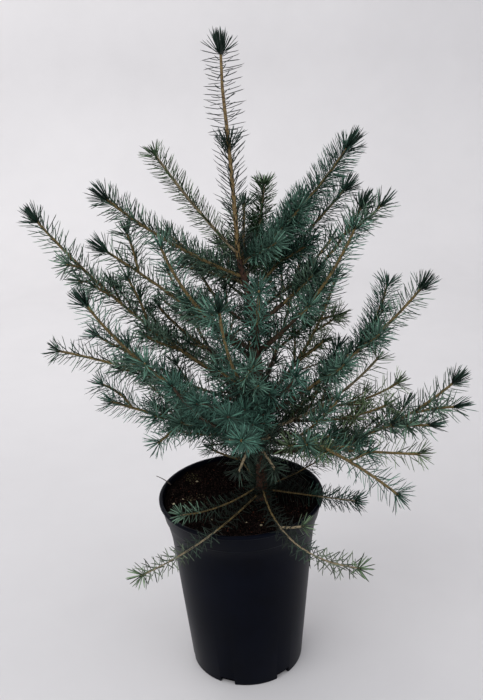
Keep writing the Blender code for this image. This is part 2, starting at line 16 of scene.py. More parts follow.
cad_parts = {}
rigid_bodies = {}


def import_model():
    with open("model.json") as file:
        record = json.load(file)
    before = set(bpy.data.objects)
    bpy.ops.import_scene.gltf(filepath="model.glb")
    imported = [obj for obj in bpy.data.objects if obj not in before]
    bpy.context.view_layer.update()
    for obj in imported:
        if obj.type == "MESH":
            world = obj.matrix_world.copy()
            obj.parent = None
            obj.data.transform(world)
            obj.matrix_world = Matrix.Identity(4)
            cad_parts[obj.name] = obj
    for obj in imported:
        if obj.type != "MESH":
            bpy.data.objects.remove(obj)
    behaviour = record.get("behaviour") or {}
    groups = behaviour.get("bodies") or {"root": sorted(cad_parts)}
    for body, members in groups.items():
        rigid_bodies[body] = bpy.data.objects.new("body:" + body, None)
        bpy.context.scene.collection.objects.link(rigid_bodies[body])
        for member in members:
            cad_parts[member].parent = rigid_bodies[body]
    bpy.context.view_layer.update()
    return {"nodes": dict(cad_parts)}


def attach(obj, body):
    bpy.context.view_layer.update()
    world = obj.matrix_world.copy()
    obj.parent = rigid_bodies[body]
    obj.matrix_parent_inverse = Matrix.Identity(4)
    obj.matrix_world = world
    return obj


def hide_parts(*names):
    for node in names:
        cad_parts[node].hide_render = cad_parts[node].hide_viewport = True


bl_info = {
    "name": "Potted spruce",
    "version": (1, 0, 0),
    "blender": (4, 5, 0),
    "location": "3D View > Sidebar > Spruce",
    "description": "Grows the bark, twigs and needles of a potted spruce and finishes its pot and soil",
    "category": "Object",
}

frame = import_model()

MM = 0.001
SEED = 21
GOLDEN_ANGLE = math.radians(137.5)

# Pot and soil. Sections are rows of radius and height in mm, the lip's from the edge of the rim
RIM = 95 * MM
POT_HEIGHT = 222 * MM
POT_STEPS = 128
FLOOR_THICK = 3 * MM
POT_BODY = (
    (65.6, 0), (66.5, 0.5), (66.9, 1.8), (74.8, 88), (82.0, 166), (83.2, 176), (85.0, 185), (87.8, 198.4),
    (88.2, 199.0), (89.0, 199.4), (89.4, 200.2),
)
POT_LIP = (
    (-2.2, -6), (-1.6, -4.6), (-0.4, -4.0), (0, -3.2), (0, -1.2), (-0.4, -0.4), (-1.2, 0), (-3.0, 0),
)
POT_EDGE = ((-3.9, -0.5), (-4.4, -2))
POT_INSIDE = ((86, 199), (81, 175), (64.8, 3))
DRAINS = 6
NOTCH_TURN = math.radians(248)
NOTCH_SIZE = (16 * MM, 18 * MM, 16 * MM)
NOTCH_REACH = 67.3 * MM
HOLE_SIZE = (10 * MM, 10 * MM, 12 * MM)
HOLE_REACH = 36 * MM
SOIL_TOP = 211 * MM
SOIL_EDGE = 88.8 * MM
SOIL_RINGS, SOIL_STEPS = 46, 144
SOIL_SIDE = ((88.2, 211), (85.6, 198.5), (80.0, 174.5), (64.4, 3.4))
BANK, BACK_BANK = 5 * MM, 2.2 * MM
BANK_FROM, BANK_TO, BANK_RUN = 66 * MM, 88 * MM, 22 * MM
SHARP = math.radians(38)

# Lumps of the soil: bumps in a metre, layer of noise, detail and height
LUMPS = ((70, 3.1, 4, 1.5 * MM), (300, 9.4, 3, 0.8 * MM))

# Trunk stations in mm: height over the floor, sideways, depth, radius
TRUNK = MM * np.array((
    (212, 25, 2, 9.5),
    (217, 25, 2, 7.6),
    (228, 24.5, 2, 6.6),
    (300, 24, 2, 6.0),
    (375, 24.5, 1, 5.4),
    (420, 23, 0, 4.6),
    (455, 18, 0, 4.0),
    (490, 10.5, 0, 3.4),
    (504, 8, 0, 2.9),
    (580, 5, 0, 2.5),
    (631, 2, 0, 2.3),
    (672, -1, 0, 1.9),
    (706, -1, 0, 1.6),
))
TRUNK_TOP = 0.7055
TRUNK_SIDES = 20
TRUNK_SPOT = (0.0245, 0.002)
FOOT_TOP, FOOT_RINGS, TRUNK_RINGS = 0.235, 12, 150
FLARE_TOP = 0.222
SLIM_FROM, YOUNG_FROM = 0.49, 0.5

# Boughs: name, height on the trunk and length in mm; azimuth, turn, rise at the foot and at
# the tip in degrees; bare limb in mm; fullness of side shoots; tint of the needles
BOUGHS = (
    ("a_left_up", 505, 135, 162, 0, 45, 55, 0, 0.35, "green"),
    ("a_left", 480, 164, 187, -1, 25, 43, 0, 0.4, "grey"),
    ("a_right", 493, 163, 8, 0, 36, 54, 0, 0.55, "blue"),
    ("a_back_right", 477, 107, 60, 0, 42, 82, 0, 0.45, "green"),
    ("a_back", 486, 72, 80, 0, 58, 78, 0, 0.5, "grey"),
    ("ab_back_left", 472, 150, 126, 0, 4, 18, 0, 0.5, "grey"),
    ("ab_right", 460, 155, 25, 0, 38, 41, 0, 0.5, "blue"),
    ("b_right_back", 425, 170, 5, 0, 33, 60, 34, 0.5, "grey"),
    ("b_right", 394, 178, -15, 0, 38, 68, 40, 0.5, "blue"),
    ("b_left_front", 395, 172, 208, 0, 33, 71, 36, 0.55, "blue"),
    ("b_left_back", 424, 105, 145, 0, 12, 70, 0, 0.7, "grey"),
    ("b_left", 380, 205, 180, 0, 46, 36, 44, 0.5, "grey"),
    ("b_left_thin", 370, 133, 165, 0, 16, 50, 0, 0.4, "grey"),
    ("b_front", 404, 120, 272, 0, 44, 47, 0, 0.5, "teal"),
    ("b_back_right", 440, 150, 46, 0, 8, 34, 0, 0.5, "grey"),
    ("b_back", 408, 175, 98, 0, 30, 55, 40, 0.9, "grey"),
    ("c_right_back", 331, 174, 35, 0, 26, 70, 34, 0.6, "grey"),
    ("c_right_up", 315, 231, -5, 0, 29, 52, 50, 0.5, "grey"),
    ("c_right_thin", 298, 160, 10, 0, 8, 48, 0, 0.4, "green"),
    ("c_big_left", 338, 307, 182, -8, 34, 52, 60, 0.4, "grey"),
    ("c_left", 306, 254, 203, 0, 27, 60, 50, 0.5, "blue"),
    ("c_left_level", 325, 240, 170, -4, 21, 9, 0, 0.45, "grey"),
    ("c_front_up", 342, 170, 248, 0, 26, 80, 0, 0.5, "teal"),
    ("c_front_right", 335, 95, 300, 0, 18, 56, 0, 0.8, "teal"),
    ("c_back_right", 340, 210, 68, 0, 24, 50, 46, 0.9, "grey"),
    ("c_back_left", 319, 215, 128, 0, 26, 52, 46, 0.9, "grey"),
    ("d_right", 272, 237, -12, 0, 2, 47, 48, 0.5, "grey"),
    ("d_right_level", 286, 187, -33, 8, 6, 8, 0, 0.45, "fresh"),
    ("d_right_front", 304, 190, -45, 0, 10, -20, 44, 0.4, "blue"),
    ("d_left", 296, 172, 190, 0, 14, 26, 0, 0.7, "blue"),
    ("d_front_1", 292, 165, 225, 0, 20, 60, 0, 0.6, "teal"),
    ("d_front_2", 318, 134, 238, 0, 28, 28, 0, 0.6, "teal"),
    ("d_front_3", 306, 122, 252, 0, 29, 29, 0, 0.6, "teal"),
    ("d_front_4", 286, 165, 262, 0, 27, 27, 0, 0.5, "teal"),
    ("d_back", 280, 190, 92, 0, 8, 30, 0, 0.9, "grey"),
    ("d_back_right", 290, 175, 46, 0, 4, 30, 0, 0.6, "grey"),
    ("d_back_left", 270, 165, 150, 0, 8, 36, 0, 0.9, "grey"),
    ("e_left", 223, 241, 240, 0, -2, 18, 0, 0.25, "low"),
    ("e_left_short", 231, 119, 221, -2, -12, 20, 0, 0.3, "low"),
    ("e_right", 229, 267, -86, 28, -3, 26, 0, 0.25, "low"),
    ("e_right_level", 224, 114, -22, -7, 1, 7, 0, 0.4, "low"),
    ("e_right_back", 226, 112, 25, 0, 4, 24, 0, 0.5, "low"),
    ("e_back", 228, 150, 115, 0, 4, 24, 0, 0.7, "low"),
)

# Side shoots that stand out by themselves: bough, place along it, azimuth, length in mm, rises
SHOOTS = (
    ("c_right_up", 0.53, 40, 96, 29, 70),
    ("d_right", 0.75, -40, 56, 27, 19),
    ("d_right", 0.62, -50, 63, 20, 21),
    ("b_right_back", 0.80, -15, 50, 33, 47),
    ("c_big_left", 0.78, 225, 21, 31, 18),
    ("c_big_left", 0.73, 215, 17, -12, 19),
    ("c_big_left", 0.48, 205, 60, 80, 62),
    ("b_left", 0.80, 165, 44, 84, 70),
    ("c_left", 0.72, 170, 40, 25, 32),
    ("d_left", 0.86, 165, 43, 60, 15),
    ("d_left", 0.53, 230, 40, -25, -10),
    ("c_right_thin", 0.45, -14, 96, 6, 38),
    ("c_right_thin", 0.25, -22, 112, 2, 32),
    ("d_right_front", 0.67, 0, 22, 24, 24),
    ("d_right_front", 0.30, -12, 64, 36, 56),
    ("c_right_back", 0.70, 0, 22, 19, 6),
    ("c_left_level", 0.52, 238, 52, 34, 40),
    ("d_right_level", 0.33, 236, 46, 22, 30),
    ("d_front_4", 0.30, 290, 55, -4, -12),
    ("d_front_4", 0.45, 244, 40, -22, -34),
)

# The other side shoots stand in pairs, and fine twigs fill the inner part of a bough
PAIR_PLACES = (0.36, 0.62)
PAIR_ANGLE = 50
PAIR_SHARE = 0.62
LEAST_SHOOT = 26 * MM
TWIG_STEP, TWIG_LAST, TWIG_SHARE = 0.12, 0.54, 0.45
LEAST_TWIG, MOST_TWIG = 15 * MM, 42 * MM
FORK_PLACES = (0.3, 0.52)
FORK_SKIPPED = 0.55
FORKED_FROM, LEAST_FORK = 44 * MM, 13 * MM
POT_CLEAR, WALL_FROM, CLEAR_RUN = 3 * MM, 87 * MM, 20 * MM

# How many of its twigs a bough has, by its tier, and boughs with none
TWIGGY = {"a": 0.6, "b": 0.35, "c": 0.7, "d": 1.0, "e": 0.0}
TWIGLESS = ("a_left", "a_left_up", "a_back")
TWIGS_LEAST, TWIGS_BY_FULL = 0.30, 0.40

# Where a bough's foot is and where its limb or needles start, over the trunk's radius
FOOT_AT, MASS_AT = 0.6, 1.2

# Radius in mm at the foot and at the tip
RADII = {
    "limb": (2.89, 2.3), "stem": (1.9, 1.4), "low": (1.1, 0.75), "shoot": (1.5, 1.2), "twig": (1.0, 0.8),
}

# Twigs have the dark bark of limbs by the trunk, and that of fine twigs low over the pot; on the pale twigs
# of the low boughs that darker bark over the pot is painted shade
BY_TRUNK, PALE_BY_TRUNK, BY_TRUNK_TOP = 55 * MM, 14 * MM, 0.44
OVER_POT, OVER_POT_TOP = 92 * MM, 0.28

# Needle tints: outer and inner side, linear colours
TINTS = {
    "grey": ((0.018, 0.043, 0.027), (0.094, 0.158, 0.112)),
    "green": ((0.024, 0.050, 0.022), (0.115, 0.172, 0.098)),
    "blue": ((0.013, 0.045, 0.031), (0.078, 0.158, 0.118)),
    "teal": ((0.007, 0.030, 0.022), (0.048, 0.116, 0.088)),
    "fresh": ((0.026, 0.052, 0.023), (0.118, 0.170, 0.092)),
    # The low tint is darkened as painted shade, for needles under the crown over the pot and soil
    "low": ((0.006, 0.014, 0.009), (0.020, 0.036, 0.025)),
    "pale": ((0.015, 0.029, 0.017), (0.086, 0.114, 0.074)),
    "bud": ((0.005, 0.017, 0.011), (0.030, 0.070, 0.052)),
    "leader": ((0.014, 0.021, 0.017), (0.046, 0.058, 0.050)),
}

# Painted shade and painted highlight on the needles: how much darker or lighter than their tint the shaded
# and the lit needles are, and the share of a spray at each level
LEVELS = {"deep": 0.42, "plain": 0.95, "light": 1.9}
LEVEL_SHARES = {"deep": 0.28, "plain": 0.44, "light": 0.28}

# Inner share of a bough whose needles all get the darker level as painted shade, by its tier or by its name
SHADES = {"a": 0.0, "b": 0.08, "c": 0.14, "d": 0.30, "d_right": 0.55, "e": 0.45}

# Tint of the side shoots where it isn't the bough's
SHOOT_TINTS = {
    "d_front_4": "low",
    "c_right_back": "fresh",
    "c_right_thin": "fresh",
    "c_front_up": "blue",
    "c_right_up": "blue",
}

# Boughs that end in a dark brush, and those whose side shoots do too
BRUSHED = (
    "a_left", "a_right", "ab_right", "b_left", "b_right_back", "c_big_left", "c_front_up", "c_left",
    "c_right_up", "d_right",
)
BRUSHED_SHOOTS = ("b_right_back", "d_right")

# Boughs whose stems lie in the shade of their needles, and get the dark bark of limbs as painted shade
SHADED = ("c_front_right", "d_front_1", "d_front_2", "d_front_3")

# Where the outer needles of a low bough start, as a share of its length, and their tint; the needles inside
# keep the low tint, which is painted shade
OUTER = {
    "e_left": (0.66, "pale"),
    "e_left_short": (0.75, "grey"),
    "e_right": (0.72, "pale"),
    "e_right_level": (0.48, "bud"),
}

# Needles for each length of stem, over the usual, where a bough is closer set or more open
CLOSER = {
    "a_left": 2.1, "a_left_up": 2.2, "a_right": 3.6, "a_back_right": 4.0,
    "ab_right": 2.3, "ab_back_left": 0.75, "b_left": 1.1, "b_left_back": 0.75,
    "b_left_front": 1.2, "b_right": 1.6, "b_right_back": 1.3, "b_back": 0.8,
    "b_back_right": 0.8, "c_right_back": 0.9, "c_back_right": 0.85, "c_back_left": 0.8,
    "c_front_up": 0.85, "c_left_level": 0.85, "c_right_up": 1.2, "c_right_thin": 0.75,
    "c_big_left": 1.1, "c_left": 1.2, "d_front_1": 1.1, "d_left": 1.3, "d_right": 0.9,
    "d_right_level": 0.75, "d_front_4": 1.2, "e_right_back": 1.8, "e_right_level": 2.2,
    "e_left": 0.82, "e_right": 0.70, "e_left_short": 1.2,
}

# The same for its side shoots alone
SHOOT_CLOSER = {"c_right_up": 2.2}
LIMB_CLOSER = 0.9

# Needle length over the usual, by bough and by kind of stem, and needle width by tint
REACH = {
    "a_left_up": 0.84, "a_right": 1.08, "a_back_right": 0.84, "b_front": 0.95,
    "c_front_right": 0.95, "d_front_1": 0.82, "d_front_2": 0.82, "d_front_3": 0.86,
    "d_front_4": 0.86, "e_left": 0.72, "e_left_short": 0.7, "e_right": 0.74,
    "e_right_level": 0.85, "twig": 0.84, "limb": 0.8, "trunk": 0.8,
}
FINER = {"low": 0.75, "pale": 0.8, "green": 0.95, "teal": 0.85, "blue": 0.95, "grey": 1.12, "leader": 1.1}

# Needles at the tip, bare length at the foot in mm, and lean where it isn't the usual
CROWNS = {"stem": 22, "shoot": 20, "twig": 12}
BRUSH_CROWN, ROSETTE_CROWN = 46, 42
BARE = {"stem": 5, "shoot": 3, "twig": 2, "limb": 2}
LEANS = {"limb": 66, "trunk": 58}
CROWN_DEPTH, NEAR_TIP = 2.5 * MM, 14 * MM
NEEDLE_CLEAR = 1.5 * MM
UPTURN, ROOT_AT = 0.08, 0.75

# Towards a tip the lean gets less. The crown's core stands up, and its ring leans between two angles
LESS_LEAN, ROSETTE_LESS_LEAN = 22, 4
CORE_SHARE, BRUSH_CORE_SHARE = 0.2, 0.62
CORE_LENGTH, BRUSH_CORE_LENGTH = 0.7, 1.12
RING_LEAN, ROSETTE_RING_LEAN = (34, 76), (50, 88)

# A needle's rings: place along it, width over its middle, share of its bend
NEEDLE_RINGS = ((0.0, 0.5, 0.0), (0.3, 1.0, -0.15), (0.84, 0.85, 0.5))
NEEDLE_POINTS = 13
MOST_NEEDLES = 8800

# Needles on the trunk: from and to in metres, kind, tint, level, closeness, stem radii in mm
TRUNK_NEEDLES = (
    # The darker level of the needles low on the trunk is painted shade under the boughs
    (0.2165, 0.262, "trunk", "grey", "deep", 4.5, (7.0, 6.2)),
    (0.262, 0.360, "trunk", "bud", "deep", 2.4, (6.0, 5.5)),
    (0.360, 0.470, "trunk", "grey", "deep", 1.5, (5.5, 4.0)),
    (0.480, 0.512, "trunk", "leader", "plain", 1.2, (3.0, 2.5)),
    (0.512, 0.609, "leader", "leader", "plain", 1.0, (2.4, 2.0)),
    (0.609, 0.621, "tuft", "bud", "plain", 4.0, (2.6, 2.6)),
    (0.621, 0.705, "leader", "leader", "plain", 0.9, (1.9, 1.5)),
)

# The leading shoot's tuft and the lean of its needles under and over that
TUFT_AT, LEAN_UNDER, LEAN_OVER = 0.612, 56, 84

# The brush on top of the leading shoot: needles, least and most lean, length over the usual
BRUSH_FOOT = 0.702
TOP_BRUSH = ((40, 0, 24, 1.16), (24, 34, 66, 1.0))

# Looks: dark and light colour, mottles in a metre, contrast, roughness, bump and its depth
LOOKS = {
    # The trunk's bark is old red-brown bark, made darker too as painted shade under the crown
    "trunk_bark": ((0.012, 0.006, 0.004), (0.085, 0.036, 0.018), 260, 1.0, (0.8, 0.95), 0.7, 0.0008),
    "leader_bark": ((0.080, 0.040, 0.014), (0.300, 0.215, 0.085), 420, 1.0, (0.6, 0.8), 0.4, 0.0003),
    "bough_bark": ((0.013, 0.008, 0.005), (0.080, 0.046, 0.022), 330, 1.0, (0.75, 0.9), 0.6, 0.0006),
    "twig_bark": ((0.070, 0.046, 0.016), (0.250, 0.180, 0.064), 420, 1.0, (0.6, 0.85), 0.5, 0.0003),
    "pale_twig_bark": ((0.130, 0.096, 0.052), (0.380, 0.310, 0.190), 420, 1.0, (0.6, 0.85), 0.5, 0.0003),
    "pale_crumb": ((0.230, 0.190, 0.110), (0.520, 0.450, 0.300), 500, 1.0, (0.8, 1.0), 0.5, 0.0004),
    "dead_twig": ((0.020, 0.014, 0.010), (0.070, 0.050, 0.036), 500, 1.0, (0.8, 1.0), 0.5, 0.0003),
    "floor_paper": ((0.632, 0.626, 0.638), (0.667, 0.661, 0.673), 3, 1.0, (0.7, 0.85), 0.05, 0.001),
}

# What is strewn on the soil: name, dark and light colour, length over width, share of the usual
# density, smallest and largest in mm, and the middle and radius of its patch in mm
CRUMBS = (
    ("soil_crumbs", (0.004, 0.0028, 0.0027), (0.030, 0.0190, 0.0165), 1.3, 2, 0.4, 1.2, (0, 0, 85)),
    ("bark_chips", (0.022, 0.011, 0.009), (0.085, 0.046, 0.036), 3.0, 1 / 3, 0.25, 0.6, (0, 0, 84)),
    ("pale_grit", (0.080, 0.070, 0.045), (0.240, 0.210, 0.140), 1.1, 1 / 50, 0.3, 0.6, (0, 0, 82)),
    ("red_flecks", (0.060, 0.018, 0.010), (0.200, 0.070, 0.040), 2.2, 1 / 14, 0.3, 0.6, (0, 0, 82)),
    ("moss_left", (0.034, 0.030, 0.014), (0.125, 0.108, 0.058), 1.6, 1.6, 0.3, 0.8, (-58, 50, 11)),
    ("moss_front", (0.040, 0.033, 0.018), (0.150, 0.126, 0.078), 1.6, 1, 0.3, 0.8, (-54, 3, 15)),
    ("crumb_heap", (0.120, 0.085, 0.035), (0.340, 0.260, 0.120), 1.3, 1 / 2, 0.4, 0.9, (18, -50, 6)),
)

# Pale crumbs that lie apart: place and size in mm
PALE_CRUMBS = ((-53, 45, 1.5), (-68, 7, 1.1), (-78, -8, 1.6), (-33, -39, 1.1), (21, -56, 1.5), (5, -48, 0.9))

# The dead twig over the rim: its foot, azimuth, turn, length and rises, then its radii in mm
DEAD_TWIG = ((-83 * MM, 24 * MM, 221.8 * MM), 132, 14, 24 * MM, 16, 2)
DEAD_TWIG_RADII = (0.7, 0.4)

# The floor's front edge, where its bend starts, the bend's radius, the backdrop's top and half the width
FLOOR_FRONT, FLOOR_BACK, FLOOR_BEND, FLOOR_TOP, FLOOR_SIDE = -3.2, 1.5, 0.6, 3.5, 4

# The camera's place, its axes to the right, up and back, and its lens and sensor in mm
CAMERA_AT = (0.0073, -0.88805, 0.73813)
CAMERA_AXES = ((0.999164, -0.014626, -0.038176), (0.040882, 0.357466, 0.933031), (0.0, -0.933812, 0.357765))
CAMERA_LENS, CAMERA_SENSOR = 45, 36
ROOM_COLOUR, ROOM_STRENGTH = (0.97, 0.965, 1.0, 1), 0.70

# Lights: name, place, power, size, colour and aim
LIGHTS = (
    ("key_light", (-1.5, -1.5, 2.4), 33, 2.2, (1.0, 1.0, 1.0), (0, 0, 0.35)),
    ("fill_light", (1.7, -1.0, 1.7), 11, 2.0, (1.0, 1.0, 1.0), (0, 0, 0.35)),
    ("top_light", (-1.0, 1.2, 2.4), 27, 2.0, (1.0, 0.97, 0.94), (-0.7, 2.2, 1.5)),
)


# Settings


class SpruceNeedleSettings(bpy.types.PropertyGroup):
    length: bpy.props.FloatProperty(
        name="Needle length", description="Length of a full needle", default=20.5 * MM, unit="LENGTH"
    )
    width: bpy.props.FloatProperty(
        name="Needle width", description="Width of a needle at its middle", default=1.2 * MM, unit="LENGTH"
    )
    pitch: bpy.props.FloatProperty(
        name="Needle pitch", description="Stem length for each needle", default=0.9 * MM, unit="LENGTH"
    )
    lean: bpy.props.FloatProperty(
        name="Needle lean",
        description="Angle between a needle and its stem",
        default=math.radians(70),
        subtype="ANGLE",
    )


class SprucePotSettings(bpy.types.PropertyGroup):
    rim: bpy.props.FloatProperty(
        name="Rim radius", description="Outer radius of the lip", default=RIM, unit="LENGTH"
    )
    height: bpy.props.FloatProperty(
        name="Height", description="Height of the pot", default=POT_HEIGHT, unit="LENGTH"
    )
    colour: bpy.props.FloatVectorProperty(
        name="Plastic",
        description="Colour of the plastic",
        default=(0.0013, 0.0021, 0.0054),
        subtype="COLOR",
    )


class SpruceSoilSettings(bpy.types.PropertyGroup):
    top: bpy.props.FloatProperty(
        name="Soil top", description="Height of the soil over the floor", default=SOIL_TOP, unit="LENGTH"
    )
    colour: bpy.props.FloatVectorProperty(
        name="Soil", description="Colour of damp soil", default=(0.0030, 0.0022, 0.0021), subtype="COLOR"
    )
    crumbs: bpy.props.FloatProperty(
        name="Crumbs", description="Crumbs on each square metre of soil", default=90000
    )


# The rule of the boughs, as in the solids


def trunk_line(heights):
    """The trunk's centre at each height."""
    sides = [np.interp(heights, TRUNK[:, 0], TRUNK[:, k]) for k in (1, 2)]
    return np.stack([*sides, heights], 1)


def trunk_radii(heights):
    return np.interp(heights, TRUNK[:, 0], TRUNK[:, 3])


def heading(azimuth, rise):
    a, r = math.radians(azimuth), math.radians(rise)
    return np.array((math.cos(a) * math.cos(r), math.sin(a) * math.cos(r), math.sin(r)))


def bent(start, azimuth, turn, length, rise, rise_end, steps):
    """A curve whose azimuth and rise change evenly along it."""
    points = [np.array(start, float)]
    for k in range(steps):
        t = (k + 0.5) / steps
        step = heading(azimuth + turn * t, rise + (rise_end - rise) * t)
        points.append(points[-1] + step * length / steps)
    return np.array(points)


def along(points, share):
    """The point at this share of a path."""
    place = min(max(share, 0.0), 0.9999) * (len(points) - 1)
    k = int(place)
    return points[k] + (points[k + 1] - points[k]) * (place - k)


def pot_outside(rim, height):
    """Radius and height of the pot's section, from its foot up to the top of the lip."""
    return [(r * MM, z * MM) for r, z in POT_BODY] + [(rim + r * MM, height + z * MM) for r, z in POT_LIP]


def near_pot(points, apart):
    """True for each point this near the pot's wall and lip, or the soil."""
    reach = np.hypot(points[:, 0], points[:, 1])
    outer_wall = np.array(pot_outside(RIM, POT_HEIGHT))
    wall = np.interp(points[:, 2], outer_wall[:, 1], outer_wall[:, 0])
    soil = SOIL_TOP + BANK * np.clip((reach - BANK_FROM) / CLEAR_RUN, 0, 1)
    near = np.where(reach > WALL_FROM, reach < wall + apart, points[:, 2] < soil + apart)
    return near & (points[:, 2] < POT_HEIGHT + apart)


class Bough:
    """A row of BOUGHS with its path. foot and mass are shares of its length."""

    def __init__(self, row):
        self.name, height, length, self.azimuth, self.turn, self.rise, self.rise_end = row[:7]
        self.bare, self.full, self.tint = row[7:]
        start, radius = trunk_line(np.array([height * MM]))[0], float(trunk_radii(height * MM))
        self.size = length * MM
        self.path = bent(start, self.azimuth, self.turn, self.size, self.rise, self.rise_end, 48)
        self.foot = radius * FOOT_AT / self.size
        self.mass = (radius * MASS_AT + self.bare * MM) / self.size
        self.twiggy = (TWIGS_LEAST + TWIGS_BY_FULL * self.full) * TWIGGY[self.name[0]]
        if self.name in TWIGLESS:
            self.twiggy = 0.0

    def rise_at(self, place):
        return self.rise + (self.rise_end - self.rise) * place

    def azimuth_at(self, place):
        return self.azimuth + self.turn * place

    def stretch(self, start, end, count):
        return np.array([along(self.path, share) for share in np.linspace(start, end, count)])

    def piece(self, kind, tint, path, radii, depth):
        """One limb, stem, shoot or twig, with the share of it that gets painted shade and how brushed it is.
        """
        brushed = dict(stem=BRUSHED, shoot=BRUSHED_SHOOTS).get(kind, ())
        return dict(
            bough=self.name,
            kind=kind,
            tint=tint,
            path=path,
            radii=[radius * MM for radius in RADII[radii]],
            depth=depth,
            shade=SHADES.get(self.name, SHADES[self.name[0]]),
            brush=self.name in brushed,
        )

    def listed(self):
        for parent, place, azimuth, length, rise, rise_end in SHOOTS:
            if parent == self.name:
                yield place, azimuth, length * MM, rise, rise_end, "shoot"

    def pairs(self, rng):
        for place in PAIR_PLACES:
            for side in (-1, 1):
                angle = side * (PAIR_ANGLE + rng.uniform(-8, 8))
                reach = self.size * (1 - place) * PAIR_SHARE * self.full * rng.uniform(0.88, 1.12)
                lift = self.rise_at(place) * 0.6 + rng.uniform(-4, 12)
                if reach >= LEAST_SHOOT and place > self.mass + 0.04:
                    at = place + rng.uniform(-0.03, 0.03)
                    yield at, self.azimuth_at(place) + angle, reach, lift, lift + 14, "shoot"

    def twigs(self, fine):
        for place in np.arange(self.mass + 0.06, TWIG_LAST, TWIG_STEP):
            for side in (-1, 1):
                reach = self.size * (1 - place) * TWIG_SHARE * fine.uniform(0.5, 1.0)
                spread = side * fine.uniform(35, 62)
                if LEAST_TWIG < reach and fine.random() < self.twiggy:
                    lift = self.rise_at(place) * 0.7 + fine.uniform(-14, 12)
                    turned = self.azimuth_at(place) + spread
                    yield place, turned, min(reach, MOST_TWIG), lift, lift + 12, "twig"


def forks(shoot, azimuth, reach, rise, rise_end, fine):
    """The finer twigs of a long side shoot."""
    for place in FORK_PLACES:
        for side in (-1, 1):
            if fine.random() < FORK_SKIPPED:
                continue
            small = reach * (1 - place) * fine.uniform(0.35, 0.55)
            if small < LEAST_FORK:
                continue
            lift = rise + (rise_end - rise) * place
            turned = azimuth + side * fine.uniform(34, 56)
            fork = bent(along(shoot, place), turned, 0, small, lift, lift + 10, 8)
            if not near_pot(fork, POT_CLEAR).any():
                yield fork


def grow_plan():
    """Every limb, stem, shoot and fine twig of the plant."""
    rng = random.Random(SEED)
    fine = random.Random(SEED + 5)
    plan = []
    for row in BOUGHS:
        bough = Bough(row)
        start = bough.mass if bough.bare else bough.foot
        if bough.bare:
            limb = bough.stretch(bough.foot, bough.mass, 9)
            plan.append(bough.piece("limb", bough.tint, limb, "limb", (0, bough.mass)))
        radii = "low" if bough.tint == "low" else "stem"
        plan.append(bough.piece("stem", bough.tint, bough.stretch(start, 1, 25), radii, (start, 1)))
        tint = SHOOT_TINTS.get(bough.name, bough.tint)
        sides = [*bough.listed(), *bough.pairs(rng), *bough.twigs(fine)]
        for place, azimuth, reach, rise, rise_end, kind in sides:
            if place < bough.mass + 0.02:
                continue
            shoot = bent(along(bough.path, place), azimuth, 0, reach, rise, rise_end, 10)
            if near_pot(shoot, POT_CLEAR).any():
                continue
            depth = (place, place + reach / bough.size)
            plan.append(bough.piece(kind, tint, shoot, kind, depth))
            if kind == "shoot" and reach > FORKED_FROM and bough.twiggy:
                for fork in forks(shoot, azimuth, reach, rise, rise_end, fine):
                    plan.append(bough.piece("twig", tint, fork, "twig", depth))
    return plan


# Mesh helpers


def home():
    return bpy.context.scene.collection


def smooth_all(mesh):
    mesh.polygons.foreach_set("use_smooth", np.full(len(mesh.polygons), True))


def make_object(name, points, faces, materials, smooth=True, slots=None):
    """A mesh object from arrays. slots gives each face's material."""
    mesh = bpy.data.meshes.new(name)
    if isinstance(faces, np.ndarray):
        count, size = faces.shape
        mesh.vertices.add(len(points))
        mesh.vertices.foreach_set("co", np.asarray(points, np.float32).ravel())
        mesh.loops.add(count * size)
        mesh.loops.foreach_set("vertex_index", faces.astype(np.int32).ravel())
        mesh.polygons.add(count)
        mesh.polygons.foreach_set("loop_start", np.arange(0, count * size, size, dtype=np.int32))
        mesh.update(calc_edges=True)
        mesh.validate()
    else:
        mesh.from_pydata([tuple(map(float, p)) for p in points], [], faces)
        mesh.update()
    for look in materials:
        mesh.materials.append(look)
    if slots is not None:
        mesh.polygons.foreach_set("material_index", np.asarray(slots, np.int32))
    if smooth:
        smooth_all(mesh)
    made = bpy.data.objects.new(name, mesh)
    home().objects.link(made)
    return made


def from_bmesh(name, work, collection=None):
    """The object of a finished bmesh, in a collection or in none."""
    mesh = bpy.data.meshes.new(name)
    work.to_mesh(mesh)
    work.free()
    made = bpy.data.objects.new(name, mesh)
    if collection:
        collection.objects.link(made)
    return made


def bake(made, context):
    """Turns an object's modifiers into its mesh."""
    graph = context.evaluated_depsgraph_get()
    graph.update()
    mesh = bpy.data.meshes.new_from_object(made.evaluated_get(graph))
    made.modifiers.clear()
    made.data = mesh
    return mesh


def hand_in(piece, slot, *nodes):
    """Attaches a piece to the root body and hides the nodes it replaces. slot is not used."""
    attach(piece, "root")
    if nodes:
        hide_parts(*nodes)


def turns_of(steps):
    """Angles at even steps round a ring."""
    return np.arange(steps) * 2 * math.pi / steps


def unit(rows):
    """Each row as a direction of length one."""
    return rows / np.linalg.norm(rows, axis=1)[:, None]


def circle(radius, steps, height=0.0):
    """A level ring of points."""
    turns = turns_of(steps)
    return np.stack([radius * np.cos(turns), radius * np.sin(turns), np.full(steps, height)], 1)


def ring_faces(rings, sides):
    """The faces between rings of points that follow one another."""
    faces = []
    for k in range(0, (rings - 1) * sides, sides):
        for j in range(sides):
            i = (j + 1) % sides
            faces.append((k + j, k + i, k + sides + i, k + sides + j))
    return faces


def skin(rings, first, last):
    """Points and faces of a solid through rings of points, with a point to close each end."""
    sides = len(rings[0])
    count = len(rings) * sides
    faces = ring_faces(len(rings), sides)
    for j in range(sides):
        i = (j + 1) % sides
        faces.append((j, count, i))
        faces.append((count - sides + i, count + 1, count - sides + j))
    return np.vstack([*rings, first, last]), faces


